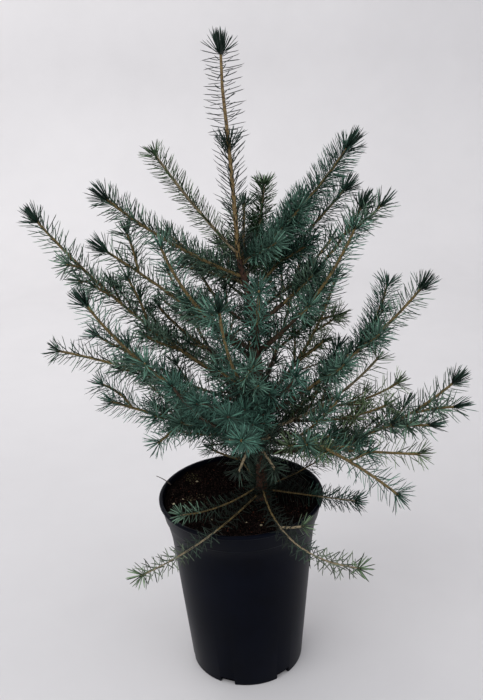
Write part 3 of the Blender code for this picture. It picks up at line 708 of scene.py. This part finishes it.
def frames_of(path):
    """Directions and two square sides at each point of a path, carried along it."""
    ways = unit(np.gradient(path, axis=0))
    sides = []
    side = np.cross(ways[0], (0.0, 0.0, 1.0))
    if np.linalg.norm(side) < 0.1:
        side = np.cross(ways[0], (1.0, 0.0, 0.0))
    for way in ways:
        side = side - way * (side @ way)
        side = side / np.linalg.norm(side)
        sides.append(side)
    sides = np.array(sides)
    return ways, sides, np.cross(ways, sides)


def tube_arrays(path, radii, sides, relief, rng):
    """Points and faces of a closed tube with a rough skin. relief is its depth over the radius."""
    ways, across, up = frames_of(path)
    turns = turns_of(sides)
    ring = np.cos(turns)[None, :, None] * across[:, None] + np.sin(turns)[None, :, None] * up[:, None]
    rough = 1 + relief * rng.uniform(-1, 1, (len(path), sides))
    rings = path[:, None] + ring * (np.asarray(radii)[:, None] * rough)[..., None]
    return skin(rings, path[0], path[-1] + ways[-1] * radii[-1] * 0.8)


def join_tubes(name, tubes, look):
    """One object of many closed tubes: path, radii, sides and relief each."""
    rng = np.random.default_rng(SEED)
    all_points, all_faces, offset = [], [], 0
    for tube in tubes:
        points, faces = tube_arrays(*tube, rng)
        all_points.append(points)
        all_faces += [tuple(v + offset for v in face) for face in faces]
        offset += len(points)
    return make_object(name, np.vstack(all_points), all_faces, [look])


# Needles


def needle_arrays(roots, ways, outs, lengths, bend, widths):
    """Points and triangles of many needles: a flat diamond section that curves to its tip."""
    count = len(roots)
    flat = unit(np.cross(ways, outs))
    back = np.cross(flat, ways)
    half_width = widths[:, None] / 2
    half_thick = half_width * 0.62
    curve = -back * (bend * lengths)[:, None]
    stations = []
    for share, size, drop in NEEDLE_RINGS:
        centre = roots + ways * (lengths * share)[:, None] + curve * drop
        across, through = flat * half_width * size, back * half_thick * size
        stations += [centre + across, centre - through, centre - across, centre + through]
    stations.append(roots + ways * lengths[:, None] + curve)
    points = np.stack(stations, 1).reshape(-1, 3)
    block, sides = [(0, 3, 2), (0, 2, 1)], [1, 1]
    for j in range(4):
        i = (j + 1) % 4
        for low in (0, 4):
            block += [(low + j, low + i, low + 4 + i), (low + j, low + 4 + i, low + 4 + j)]
        block.append((8 + j, 8 + i, NEEDLE_POINTS - 1))
        sides += [1 if j < 2 else 0] * 5
    faces = (np.arange(count)[:, None, None] * NEEDLE_POINTS + np.array(block)[None]).reshape(-1, 3)
    return points, faces, np.tile(np.array(sides), count)


def spray(piece, settings, rng, dense=1.0):
    """Needles of one stem: roots, directions, sizes, which crown its tip, and the place of each."""
    path, kind, bough = piece["path"], piece["kind"], piece.get("bough")
    steps = np.linalg.norm(np.diff(path, axis=0), axis=1)
    reach = np.concatenate([[0], np.cumsum(steps)])
    size = reach[-1]
    bare = BARE.get(kind, 0) * MM
    brush = piece.get("brush", False)
    leafy = kind in ("stem", "shoot", "twig")
    rosette = kind == "stem" and piece["tint"] == "teal"
    crown = CROWNS.get(kind, 0)
    if kind == "stem" and (brush or rosette):
        crown = BRUSH_CROWN if brush else ROSETTE_CROWN
    count = max(6, int((size - bare) / settings.pitch * dense))
    place = bare + (size - bare) * (np.arange(count) + rng.uniform(-0.4, 0.4, count)) / count
    place = np.clip(np.concatenate([place, size - rng.uniform(0, CROWN_DEPTH, crown)]), 0, size)
    total = len(place)
    tip = np.arange(total) >= count
    ways, across, up = frames_of(path)

    def pick(rows):
        return np.stack([np.interp(place, reach, rows[:, k]) for k in range(3)], 1)

    centre, way = pick(path), unit(pick(ways))
    turn = np.arange(total) * GOLDEN_ANGLE + rng.uniform(-0.25, 0.25, total)
    out = pick(across) * np.cos(turn)[:, None] + pick(up) * np.sin(turn)[:, None]
    near = np.clip((place - size + NEAR_TIP) / NEAR_TIP, 0, 1)
    usual = LEANS.get(kind, math.degrees(settings.lean))
    lean = usual + rng.normal(0, 7, total) - near * (ROSETTE_LESS_LEAN if rosette else LESS_LEAN)
    if kind == "leader":
        lean = np.where(centre[:, 2] < TUFT_AT, LEAN_UNDER, LEAN_OVER) + rng.normal(0, 6, total)
    if kind == "tuft":
        lean = rng.uniform(24, 66, total)
    core = rng.random(total) < (BRUSH_CORE_SHARE if brush else CORE_SHARE)
    ring = rng.uniform(*(ROSETTE_RING_LEAN if rosette else RING_LEAN), total)
    lean = np.radians(np.where(tip, np.where(core, rng.uniform(3, 30, total), ring), lean))
    aim = way * np.cos(lean)[:, None] + out * np.sin(lean)[:, None]
    if leafy:
        aim[:, 2] += UPTURN
    aim = unit(aim)
    share = place / size
    radius = piece["radii"][0] + (piece["radii"][1] - piece["radii"][0]) * share
    root = centre + out * (radius * ROOT_AT)[:, None]
    length = settings.length * rng.uniform(0.84, 1.08, total) * REACH.get(kind, 1.0)
    if leafy:
        length *= 0.78 + 0.22 * np.clip(share * 5, 0, 1)
    length *= REACH.get(bough, 1.0)
    length = np.where(tip & core, length * (BRUSH_CORE_LENGTH if brush else CORE_LENGTH), length)
    bend = np.where(tip, rng.uniform(-0.03, 0.06, total), rng.uniform(0.0, 0.15, total))
    free = np.full(total, True)
    for part in (1.0, 0.6):
        free &= ~near_pot(root + aim * (length * part)[:, None], NEEDLE_CLEAR)
    return [part[free] for part in (root, aim, out, length, bend, tip, share)]


class NeedleStore:
    """Collects needles by tint and by level of painted shade or highlight until they become joined pieces.
    """

    def __init__(self):
        self.rows = {}

    def add(self, tint, level, rows, which):
        if which.any():
            self.rows.setdefault((tint, level), []).append([part[which] for part in rows[:5]])

    def deal(self, tint, rows, which, rng):
        """Adds needles of one spray, some darker as painted shade and some lighter as painted highlight."""
        drawn = rng.random(len(which))
        past = 0.0
        for level, part in LEVEL_SHARES.items():
            self.add(tint, level, rows, which & (drawn >= past) & (drawn < past + part))
            past += part


# Materials


MOTTLE_INPUTS = {
    "Dark": "Color", "Light": "Color", "Scale": "Float", "Contrast": "Float", "Rough Low": "Float",
    "Rough High": "Float",
}
MOTTLE_OUTPUTS = {"Colour": "Color", "Height": "Float", "Roughness": "Float"}
STREWN_INPUTS = {"Density": "Float", "Smallest": "Float", "Largest": "Float", "Seed": "Int"}


def add_sockets(tree, way, kinds):
    """Adds the inputs or outputs of a group, and returns what a modifier calls them."""
    new = tree.interface.new_socket
    made = [new(label, in_out=way, socket_type="NodeSocket" + kind) for label, kind in kinds.items()]
    return [socket.identifier for socket in made]


def wire(tree, *rows):
    """Links nodes. A row is a node, its output, the next node and its input."""
    for source, output, target, entry in rows:
        tree.links.new(source.outputs[output], target.inputs[entry])


def mottle_group():
    """Two colours mixed by noise of two sizes, with a height for bumps and a roughness."""
    name = "Mottle"
    if name in bpy.data.node_groups:
        return bpy.data.node_groups[name]
    tree = bpy.data.node_groups.new(name, "ShaderNodeTree")
    add_sockets(tree, "INPUT", MOTTLE_INPUTS)
    add_sockets(tree, "OUTPUT", MOTTLE_OUTPUTS)
    new = tree.nodes.new
    start, end = new("NodeGroupInput"), new("NodeGroupOutput")
    place = new("ShaderNodeTexCoord")
    coarse, fine = new("ShaderNodeTexNoise"), new("ShaderNodeTexNoise")
    coarse.inputs["Detail"].default_value = 6
    fine.inputs["Detail"].default_value = 3
    more, mix = new("ShaderNodeMath"), new("ShaderNodeMath")
    more.operation = "MULTIPLY"
    more.inputs[1].default_value = 6.0
    mix.operation = "MULTIPLY_ADD"
    mix.inputs[1].default_value = 0.35
    ramp, rough = new("ShaderNodeMapRange"), new("ShaderNodeMapRange")
    ramp.inputs["From Min"].default_value = 0.45
    ramp.inputs["From Max"].default_value = 0.9
    colour = new("ShaderNodeMix")
    colour.data_type = "RGBA"
    wire(
        tree,
        (place, "Object", coarse, "Vector"),
        (place, "Object", fine, "Vector"),
        (start, "Scale", coarse, "Scale"),
        (start, "Scale", more, 0),
        (more, 0, fine, "Scale"),
        (fine, "Fac", mix, 0),
        (coarse, "Fac", mix, 2),
        (mix, 0, ramp, "Value"),
        (start, "Contrast", ramp, "To Max"),
        (ramp, "Result", colour, "Factor"),
        (start, "Dark", colour, "A"),
        (start, "Light", colour, "B"),
        (colour, "Result", end, "Colour"),
        (mix, 0, end, "Height"),
        (coarse, "Fac", rough, "Value"),
        (start, "Rough Low", rough, "To Min"),
        (start, "Rough High", rough, "To Max"),
        (rough, "Result", end, "Roughness"),
    )
    return tree


def mottled(name, dark, light, scale, contrast, rough, bump, depth, shine=0.5):
    """A Principled material with mottled colour, roughness and bumps."""
    if name in bpy.data.materials:
        return bpy.data.materials[name]
    made = bpy.data.materials.new(name)
    made.use_nodes = True
    tree, nodes = made.node_tree, made.node_tree.nodes
    shader = nodes["Principled BSDF"]
    shader.inputs["Specular IOR Level"].default_value = shine
    group = nodes.new("ShaderNodeGroup")
    group.node_tree = mottle_group()
    values = ((*dark, 1), (*light, 1), scale, contrast, *rough)
    for label, value in zip(MOTTLE_INPUTS, values):
        group.inputs[label].default_value = value
    wire(tree, (group, "Colour", shader, "Base Color"), (group, "Roughness", shader, "Roughness"))
    if bump:
        lift = nodes.new("ShaderNodeBump")
        lift.inputs["Strength"].default_value = bump
        lift.inputs["Distance"].default_value = depth
        wire(tree, (group, "Height", lift, "Height"), (lift, "Normal", shader, "Normal"))
    return made


def look_of(name):
    return mottled(name, *LOOKS[name])


def shade(colour, share):
    return tuple(c * share for c in colour)


def needle_look(tint, level, side):
    # Levels other than plain darken the tint as painted shade or lighten it as a painted highlight
    colour = shade(TINTS[tint][side], LEVELS[level])
    name = "needle_%s_%s_%s" % (tint, level, ("outer", "inner")[side])
    rough = (0.42, 0.6) if side == 0 else (0.55, 0.75)
    return mottled(name, shade(colour, 0.8), shade(colour, 1.2), 420, 0.9, rough, 0, 0, 0.22)


# Operators


class SPRUCE_OT_trunk(bpy.types.Operator):
    """Makes the trunk with the relief of its bark, from the root flare to the leading shoot"""

    bl_idname = "spruce.trunk"
    bl_label = "Trunk"

    def execute(self, context):
        foot = np.linspace(TRUNK[0, 0], FOOT_TOP, FOOT_RINGS)[:-1]
        heights = np.concatenate([foot, np.linspace(FOOT_TOP, TRUNK_TOP, TRUNK_RINGS)])
        path, radii = trunk_line(heights), trunk_radii(heights)
        sides = TRUNK_SIDES
        points = []
        for (x, y, z), radius in zip(path, radii):
            for turn in turns_of(sides):
                r = radius * self.relief(turn, z)
                points.append((x + math.cos(turn) * r, y + math.sin(turn) * r, z))
        faces = ring_faces(len(path), sides)
        faces.append(tuple(range(sides - 1, -1, -1)))
        faces.append(tuple(range(len(points) - sides, len(points))))
        trunk = make_object("trunk_bark", points, faces, [look_of("trunk_bark"), look_of("leader_bark")])
        for face in trunk.data.polygons:
            face.material_index = 1 if face.center.z > YOUNG_FROM else 0
        hand_in(trunk, "bark", "trunk")
        return {"FINISHED"}

    def relief(self, turn, z):
        """The skin's distance from the centre over the radius: flakes, root flare, slim top."""
        spot = Vector((math.cos(turn) * 2.2, math.sin(turn) * 2.2, z * 160))
        flake = noise.fractal(spot, 1.0, 2.1, 3)
        old = min(1.0, max(0.15, (YOUNG_FROM - z) / 0.2))
        flare = max(0.0, (FLARE_TOP - z) / 0.01) * 0.16 * math.sin(turn * 5 + 0.7)
        slim = 1 - 0.16 * min(1.0, max(0.0, (z - SLIM_FROM) / 0.03))
        return slim * (0.97 + 0.13 * flake * old + flare)


class SPRUCE_OT_twigs(bpy.types.Operator):
    """Makes the boughs, shoots and fine twigs by the bough rule"""

    bl_idname = "spruce.twigs"
    bl_label = "Boughs and twigs"

    def execute(self, context):
        limbs, young, pale, shaded = [], [], [], []
        for piece in grow_plan():
            radii = np.linspace(*piece["radii"], len(piece["path"]))
            if piece["kind"] == "limb":
                limbs.append((piece["path"], radii, 10, 0.10))
            elif piece["tint"] in ("low", "green"):
                pale.append((piece["path"], radii, 7, 0.09))
            # Stems in the shade of their needles take the dark limb bark: painted shade
            elif piece["bough"] in SHADED:
                shaded.append((piece["path"], radii, 6, 0.09))
            else:
                young.append((piece["path"], radii, 7 if piece["kind"] == "stem" else 6, 0.09))
        names = [n for n in frame["nodes"] if n.startswith("bough_")]
        masses = [n for n in frame["nodes"] if n.startswith("mass_")]
        pale_masses = ["mass_" + row[0] for row in BOUGHS if row[-1] in ("low", "green")]
        limb_look, twig_look = look_of("bough_bark"), look_of("twig_bark")
        for name, tubes, look, inner, nodes in (
            ("bough_limbs", limbs, limb_look, BY_TRUNK, names),
            ("twigs", young, twig_look, BY_TRUNK, [n for n in masses if n not in pale_masses]),
            ("shaded_twigs", shaded, limb_look, BY_TRUNK, ["mass_" + bough for bough in SHADED]),
            ("pale_twigs", pale, look_of("pale_twig_bark"), PALE_BY_TRUNK, pale_masses),
        ):
            made = join_tubes(name, tubes, look)
            made.data.materials.append(limb_look)
            made.data.materials.append(twig_look)
            for face in made.data.polygons:
                x, y, z = face.center
                # For the pale twigs, the darker twig bark over the pot is painted shade
                over_pot = z < OVER_POT_TOP and math.hypot(x, y) < OVER_POT
                by_trunk = z < BY_TRUNK_TOP and math.dist((x, y), TRUNK_SPOT) < inner
                face.material_index = 1 if by_trunk else 2 if over_pot else 0
            hand_in(made, "young_bark", *nodes)
        return {"FINISHED"}


class SPRUCE_OT_needles(bpy.types.Operator):
    """Sets needles along every stem and a crown of them at every tip"""

    bl_idname = "spruce.needles"
    bl_label = "Needles"

    def execute(self, context):
        settings = context.scene.spruce_needles
        rng = np.random.default_rng(SEED + 9)
        store = NeedleStore()
        for piece in grow_plan():
            self.dress(piece, settings, rng, store)
        self.trunk(settings, rng, store)
        self.top(settings, rng, store)
        masses = [n for n in frame["nodes"] if n.startswith("mass_")]
        for (tint, level), parts in store.rows.items():
            root, way, out, length, bend = (np.concatenate([part[k] for part in parts]) for k in range(5))
            pieces = math.ceil(len(root) / MOST_NEEDLES)
            for k in range(pieces):
                cut = slice(k * len(root) // pieces, (k + 1) * len(root) // pieces)
                width = settings.width * FINER.get(tint, 1.0) * rng.uniform(0.85, 1.15, len(root[cut]))
                rows = (part[cut] for part in (root, way, out, length, bend))
                points, faces, sides = needle_arrays(*rows, width)
                looks = [needle_look(tint, level, side) for side in (0, 1)]
                name = "needles_%s_%s_%d" % (tint, level, k + 1)
                made = make_object(name, points, faces, looks, True, sides)
                hand_in(made, "needles", *masses)
        return {"FINISHED"}

    def dress(self, piece, settings, rng, store):
        """The needles of one limb, stem, shoot or twig, with painted shade near the trunk."""
        bough, kind, tint = piece["bough"], piece["kind"], piece["tint"]
        dense = CLOSER.get(bough, 1.0)
        if kind == "limb":
            dense *= LIMB_CLOSER
        if kind == "shoot":
            dense *= SHOOT_CLOSER.get(bough, 1.0)
        rows = spray(piece, settings, rng, dense)
        tip, share = rows[5], rows[6]
        inner, outer = piece["depth"]
        # Needles of the inner share, near the trunk, take the darker level: painted shade
        deep = ~tip & (inner + (outer - inner) * share < piece["shade"] + rng.uniform(-0.06, 0.06))
        start, outer_tint = OUTER.get(bough, (2.0, tint))
        end_tint = "bud" if piece["brush"] else "green" if outer_tint == "pale" else outer_tint
        store.add(tint, "deep", rows, deep & (share < start))
        store.deal(tint, rows, ~deep & ~tip & (share < start), rng)
        store.deal(outer_tint, rows, ~tip & (share >= start), rng)
        store.deal(end_tint, rows, tip, rng)

    def trunk(self, settings, rng, store):
        """The needles of the trunk and of its leading shoot, with a tuft part way."""
        for low, high, kind, tint, level, dense, radii in TRUNK_NEEDLES:
            path = trunk_line(np.linspace(low, high, max(3, int((high - low) / 0.006))))
            piece = dict(path=path, kind=kind, radii=shade(radii, MM))
            part = spray(piece, settings, rng, dense)
            store.add(tint, level, part, np.full(len(part[0]), True))

    def top(self, settings, rng, store):
        """The brush on top of the leading shoot."""
        path = trunk_line(np.linspace(BRUSH_FOOT, TRUNK_TOP, 3))
        for count, least, most, reach in TOP_BRUSH:
            piece = dict(path=path, kind="tuft", radii=(2.2 * MM, 2.2 * MM))
            part = spray(piece, settings, rng, count * settings.pitch / (3.5 * MM))
            turn = rng.uniform(0, 2 * math.pi, len(part[0]))
            lean = np.radians(rng.uniform(least, most, len(turn)))
            up = np.array((0.0, 0.0, 1.0))
            part[2] = np.stack([np.cos(turn), np.sin(turn), np.zeros(len(turn))], 1)
            part[1] = np.cos(lean)[:, None] * up + np.sin(lean)[:, None] * part[2]
            part[0] = path[1] + part[2] * 2.0 * MM + up * rng.uniform(-1, 1.5, len(turn))[:, None] * MM
            part[3] = part[3] * reach
            part[4] = part[4] * 0.3
            store.add("bud", "plain", part, np.full(len(turn), True))


class SPRUCE_OT_pot(bpy.types.Operator):
    """Turns the pot from its section and cuts its drain notches and holes"""

    bl_idname = "spruce.pot"
    bl_label = "Pot"

    def execute(self, context):
        settings = context.scene.spruce_pot
        section = pot_outside(settings.rim, settings.height)
        section += [(settings.rim + r * MM, settings.height + z * MM) for r, z in POT_EDGE]
        section += [(r * MM, z * MM) for r, z in POT_INSIDE]
        rings = [circle(r, POT_STEPS, z) for r, z in section]
        pot = make_object("pot_shell", *skin(rings, (0, 0, 0), (0, 0, FLOOR_THICK)), [])
        cutters = bpy.data.collections.new("pot_cutters")
        home().children.link(cutters)
        for k in range(DRAINS):
            turn = NOTCH_TURN + 2 * math.pi * k / DRAINS
            add_cutter(cutters, NOTCH_REACH, 0, turn, NOTCH_SIZE, 0)
            add_cutter(cutters, HOLE_REACH, FLOOR_THICK / 2, turn + math.pi / DRAINS, HOLE_SIZE, 32)
        change = pot.modifiers.new("Drains", "BOOLEAN")
        change.operation = "DIFFERENCE"
        change.solver = "EXACT"
        change.operand_type = "COLLECTION"
        change.collection = cutters
        cut = bake(pot, context)
        for cutter in list(cutters.objects):
            bpy.data.objects.remove(cutter)
        bpy.data.collections.remove(cutters)
        cut.materials.clear()
        cut.materials.append(pot_look(settings.colour))
        smooth_all(cut)
        cut.set_sharp_from_angle(angle=SHARP)
        hand_in(pot, "black_plastic", "pot")
        return {"FINISHED"}


def add_cutter(cutters, reach, height, turn, size, sides):
    """A box, or a round bar of so many sides, set to cut the pot."""
    work = bmesh.new()
    if sides:
        bmesh.ops.create_cone(
            work, cap_ends=True, segments=sides, radius1=size[0] / 2, radius2=size[0] / 2, depth=size[2]
        )
    else:
        bmesh.ops.create_cube(work, size=1)
        bmesh.ops.scale(work, vec=size, verts=work.verts)
    spot = (reach * math.cos(turn), reach * math.sin(turn), height)
    bmesh.ops.rotate(work, matrix=Matrix.Rotation(turn, 3, "Z"), verts=work.verts)
    bmesh.ops.translate(work, vec=spot, verts=work.verts)
    from_bmesh("cutter", work, cutters)


def pot_look(colour):
    """Moulded plastic: near black, semi-gloss, with faint smears and a fine grain."""
    dark, light = shade(colour, 0.7), shade(colour, 1.6)
    made = mottled("pot_plastic", dark, light, 14, 0.8, (0.30, 0.42), 0.10, 0.0004, 0.045)
    tree, nodes = made.node_tree, made.node_tree.nodes
    shader = nodes["Principled BSDF"]
    place, grain, fine = (nodes.new("ShaderNode" + kind) for kind in ("TexCoord", "TexNoise", "Bump"))
    grain.inputs["Scale"].default_value = 900
    fine.inputs["Strength"].default_value = 0.08
    fine.inputs["Distance"].default_value = 0.0002
    smears = shader.inputs["Normal"].links[0].from_node
    wire(
        tree,
        (place, "Object", grain, "Vector"),
        (grain, "Fac", fine, "Height"),
        (smears, "Normal", fine, "Normal"),
        (fine, "Normal", shader, "Normal"),
    )
    return made


def soil_height(x, y, top):
    """Height of the loose soil at a spot: a bank at the wall, higher at the back, and lumps."""
    reach = math.hypot(x, y)
    height = top + max(0.0, (reach - BANK_FROM) / BANK_RUN) * (BANK + BACK_BANK * y / BANK_TO)
    for bumps, layer, detail, size in LUMPS:
        height += size * noise.fractal(Vector((x * bumps, y * bumps, layer)), 1.0, 2.0, detail)
    return height


class SPRUCE_OT_soil(bpy.types.Operator):
    """Makes the soil with its loose, lumpy top"""

    bl_idname = "spruce.soil"
    bl_label = "Soil"

    def execute(self, context):
        settings = context.scene.spruce_soil
        rings = []
        for k in range(1, SOIL_RINGS + 1):
            ring = circle(SOIL_EDGE * k / SOIL_RINGS, SOIL_STEPS)
            ring[:, 2] = [soil_height(x, y, settings.top) for x, y, _ in ring]
            rings.append(ring)
        rings += [circle(r * MM, SOIL_STEPS, z * MM) for r, z in SOIL_SIDE]
        middle, foot = (0, 0, soil_height(0, 0, settings.top)), (0, 0, SOIL_SIDE[-1][1] * MM)
        points, faces = skin(rings, middle, foot)
        turned_over = [(face[0], *face[:0:-1]) for face in faces]
        dark, light = shade(settings.colour, 0.4), shade(settings.colour, 2.4)
        look = mottled("soil_earth", dark, light, 240, 1.0, (0.9, 1.0), 1.0, 0.0016, 0.0)
        soil = make_object("soil_bed", points, turned_over, [look])
        hand_in(soil, "soil", "soil")
        return {"FINISHED"}


def crumb_mesh(name, look, seed, stretch):
    """A small angular crumb of bark or grit."""
    work = bmesh.new()
    bmesh.ops.create_icosphere(work, subdivisions=1, radius=1)
    rng = random.Random(seed)
    for vert in work.verts:
        vert.co *= rng.uniform(0.65, 1.15)
        vert.co.x *= stretch
        vert.co.z *= 0.55
    crumb = from_bmesh(name, work)
    crumb.data.materials.append(look)
    return crumb


def scatter_tree(name, kind, look):
    """Geometry Nodes that strew one crumb over a surface, small and large, and join the result."""
    tree = bpy.data.node_groups.new(name, "GeometryNodeTree")
    add_sockets(tree, "INPUT", {"Geometry": "Geometry"})
    sockets = add_sockets(tree, "INPUT", STREWN_INPUTS)
    add_sockets(tree, "OUTPUT", {"Geometry": "Geometry"})
    new = tree.nodes.new
    start, end = new("NodeGroupInput"), new("NodeGroupOutput")
    strew, put = new("GeometryNodeDistributePointsOnFaces"), new("GeometryNodeInstanceOnPoints")
    one, real, paint = (new("GeometryNode" + n) for n in ("ObjectInfo", "RealizeInstances", "SetMaterial"))
    turn, size = new("FunctionNodeRandomValue"), new("FunctionNodeRandomValue")
    one.inputs["Object"].default_value = kind
    turn.data_type = "FLOAT_VECTOR"
    turn.inputs[1].default_value = (6.28, 6.28, 6.28)
    paint.inputs["Material"].default_value = look
    wire(
        tree,
        (start, "Geometry", strew, "Mesh"),
        (start, "Density", strew, "Density"),
        (start, "Seed", strew, "Seed"),
        (start, "Smallest", size, 2),
        (start, "Largest", size, 3),
        (start, "Seed", size, "Seed"),
        (start, "Seed", turn, "Seed"),
        (strew, "Points", put, "Points"),
        (one, "Geometry", put, "Instance"),
        (turn, 0, put, "Rotation"),
        (size, 1, put, "Scale"),
        (put, "Instances", real, "Geometry"),
        (real, "Geometry", paint, "Geometry"),
        (paint, "Geometry", end, "Geometry"),
    )
    return tree, sockets


class SPRUCE_OT_crumbs(bpy.types.Operator):
    """Strews crumbs of bark, pale grit and moss over the soil"""

    bl_idname = "spruce.crumbs"
    bl_label = "Crumbs and moss"

    def execute(self, context):
        settings = context.scene.spruce_soil
        for number, (name, dark, light, stretch, density, least, most, patch) in enumerate(CRUMBS):
            look = mottled(name, dark, light, 500, 1.0, (0.8, 1.0), 0.5, 0.0004, 0.0)
            kind = crumb_mesh(name + "_kind", look, number, stretch)
            ground = self.patch(name, *shade(patch, MM), settings.top)
            tree, sockets = scatter_tree(name + "_strewn", kind, look)
            change = ground.modifiers.new("Strewn", "NODES")
            change.node_group = tree
            values = (settings.crumbs * density, least * MM, most * MM, SEED + number)
            for socket, value in zip(sockets, values):
                change[socket] = value
            bake(ground, context)
            bpy.data.objects.remove(kind)
            hand_in(ground, "soil")
        self.loose(settings.top)
        return {"FINISHED"}

    def patch(self, name, x, y, reach, top):
        """A round patch of ground that follows the soil."""
        work = bmesh.new()
        bmesh.ops.create_circle(work, cap_ends=True, cap_tris=True, segments=48, radius=reach)
        bmesh.ops.subdivide_edges(work, edges=work.edges, cuts=5, use_grid_fill=True)
        for vert in work.verts:
            vert.co.x += x
            vert.co.y += y
            vert.co.z = soil_height(vert.co.x, vert.co.y, top)
        return from_bmesh(name, work, home())

    def loose(self, top):
        """The few pale crumbs that lie apart, and a small dead twig that leans over the rim."""
        rng = random.Random(SEED)
        look = look_of("pale_crumb")
        points, faces = [], []
        for x, y, size in PALE_CRUMBS:
            crumb = crumb_mesh("pale_crumb_kind", look, rng.randrange(99), 1.3)
            spot = Vector((x * MM, y * MM, soil_height(x * MM, y * MM, top) + 0.4 * MM))
            faces += [tuple(v + len(points) for v in face.vertices) for face in crumb.data.polygons]
            points += [vert.co * size * MM + spot for vert in crumb.data.vertices]
            bpy.data.objects.remove(crumb)
        path = bent(*DEAD_TWIG, 10)
        twig = (path, np.linspace(*DEAD_TWIG_RADII, len(path)) * MM, 6, 0.15)
        for piece in (
            make_object("pale_crumbs", points, faces, [look], False),
            join_tubes("dead_twig", [twig], look_of("dead_twig")),
        ):
            hand_in(piece, "soil")


class SPRUCE_OT_stage(bpy.types.Operator):
    """Sets the floor, the soft light and the camera"""

    bl_idname = "spruce.stage"
    bl_label = "Floor, light and camera"

    def execute(self, context):
        self.floor()
        for name, spot, power, size, colour, aim in LIGHTS:
            data = bpy.data.lights.new(name, "AREA")
            data.energy = power
            data.color = colour
            data.size = size
            lamp = bpy.data.objects.new(name, data)
            lamp.location = spot
            lamp.rotation_mode = "QUATERNION"
            lamp.rotation_quaternion = (Vector(aim) - Vector(spot)).to_track_quat("-Z", "Y")
            home().objects.link(lamp)
        world = bpy.data.worlds.new("soft_room")
        world.use_nodes = True
        room = world.node_tree.nodes["Background"]
        room.inputs["Color"].default_value = ROOM_COLOUR
        room.inputs["Strength"].default_value = ROOM_STRENGTH
        context.scene.world = world
        context.scene.view_settings.view_transform = "Standard"
        self.camera(context.scene)
        return {"FINISHED"}

    def floor(self):
        """A sheet of paper that curves up to a backdrop."""
        line = [(FLOOR_FRONT, 0.0), (FLOOR_BACK, 0.0)]
        for a in np.linspace(0.1, math.pi / 2, 12):
            line.append((FLOOR_BACK + FLOOR_BEND * math.sin(a), FLOOR_BEND - FLOOR_BEND * math.cos(a)))
        line.append((FLOOR_BACK + FLOOR_BEND, FLOOR_TOP))
        work = bmesh.new()
        left, right = ([work.verts.new((x, y, z)) for y, z in line] for x in (-FLOOR_SIDE, FLOOR_SIDE))
        for k in range(len(line) - 1):
            work.faces.new((left[k], right[k], right[k + 1], left[k + 1]))
        floor = from_bmesh("floor", work, home())
        smooth_all(floor.data)
        floor.data.materials.append(look_of("floor_paper"))

    def camera(self, scene):
        data = bpy.data.cameras.new("camera")
        data.lens = CAMERA_LENS
        data.sensor_width = CAMERA_SENSOR
        camera = bpy.data.objects.new("camera", data)
        camera.matrix_world = Matrix.Translation(CAMERA_AT) @ Matrix(CAMERA_AXES).transposed().to_4x4()
        home().objects.link(camera)
        scene.camera = camera


class SPRUCE_PT_panel(bpy.types.Panel):
    """Lists the steps of the potted spruce"""

    bl_label = "Potted spruce"
    bl_idname = "SPRUCE_PT_panel"
    bl_space_type = "VIEW_3D"
    bl_region_type = "UI"
    bl_category = "Spruce"

    def draw(self, context):
        for group, kind in SETTINGS.items():
            for name in kind.__annotations__:
                self.layout.prop(getattr(context.scene, group), name)
        for step in STEPS:
            self.layout.operator(step.bl_idname)


SETTINGS = {
    "spruce_needles": SpruceNeedleSettings,
    "spruce_pot": SprucePotSettings,
    "spruce_soil": SpruceSoilSettings,
}
STEPS = (
    SPRUCE_OT_stage,
    SPRUCE_OT_pot,
    SPRUCE_OT_soil,
    SPRUCE_OT_crumbs,
    SPRUCE_OT_trunk,
    SPRUCE_OT_twigs,
    SPRUCE_OT_needles,
)


def register():
    for kind in (*SETTINGS.values(), *STEPS, SPRUCE_PT_panel):
        bpy.utils.register_class(kind)
    for name, kind in SETTINGS.items():
        setattr(bpy.types.Scene, name, bpy.props.PointerProperty(type=kind))


def unregister():
    for name in SETTINGS:
        delattr(bpy.types.Scene, name)
    for kind in reversed((*SETTINGS.values(), *STEPS, SPRUCE_PT_panel)):
        bpy.utils.unregister_class(kind)


def main():
    register()
    bpy.ops.spruce.stage()
    bpy.ops.spruce.pot()
    bpy.ops.spruce.soil()
    bpy.ops.spruce.crumbs()
    bpy.ops.spruce.trunk()
    bpy.ops.spruce.twigs()
    bpy.ops.spruce.needles()


if __name__ == "__main__":
    main()
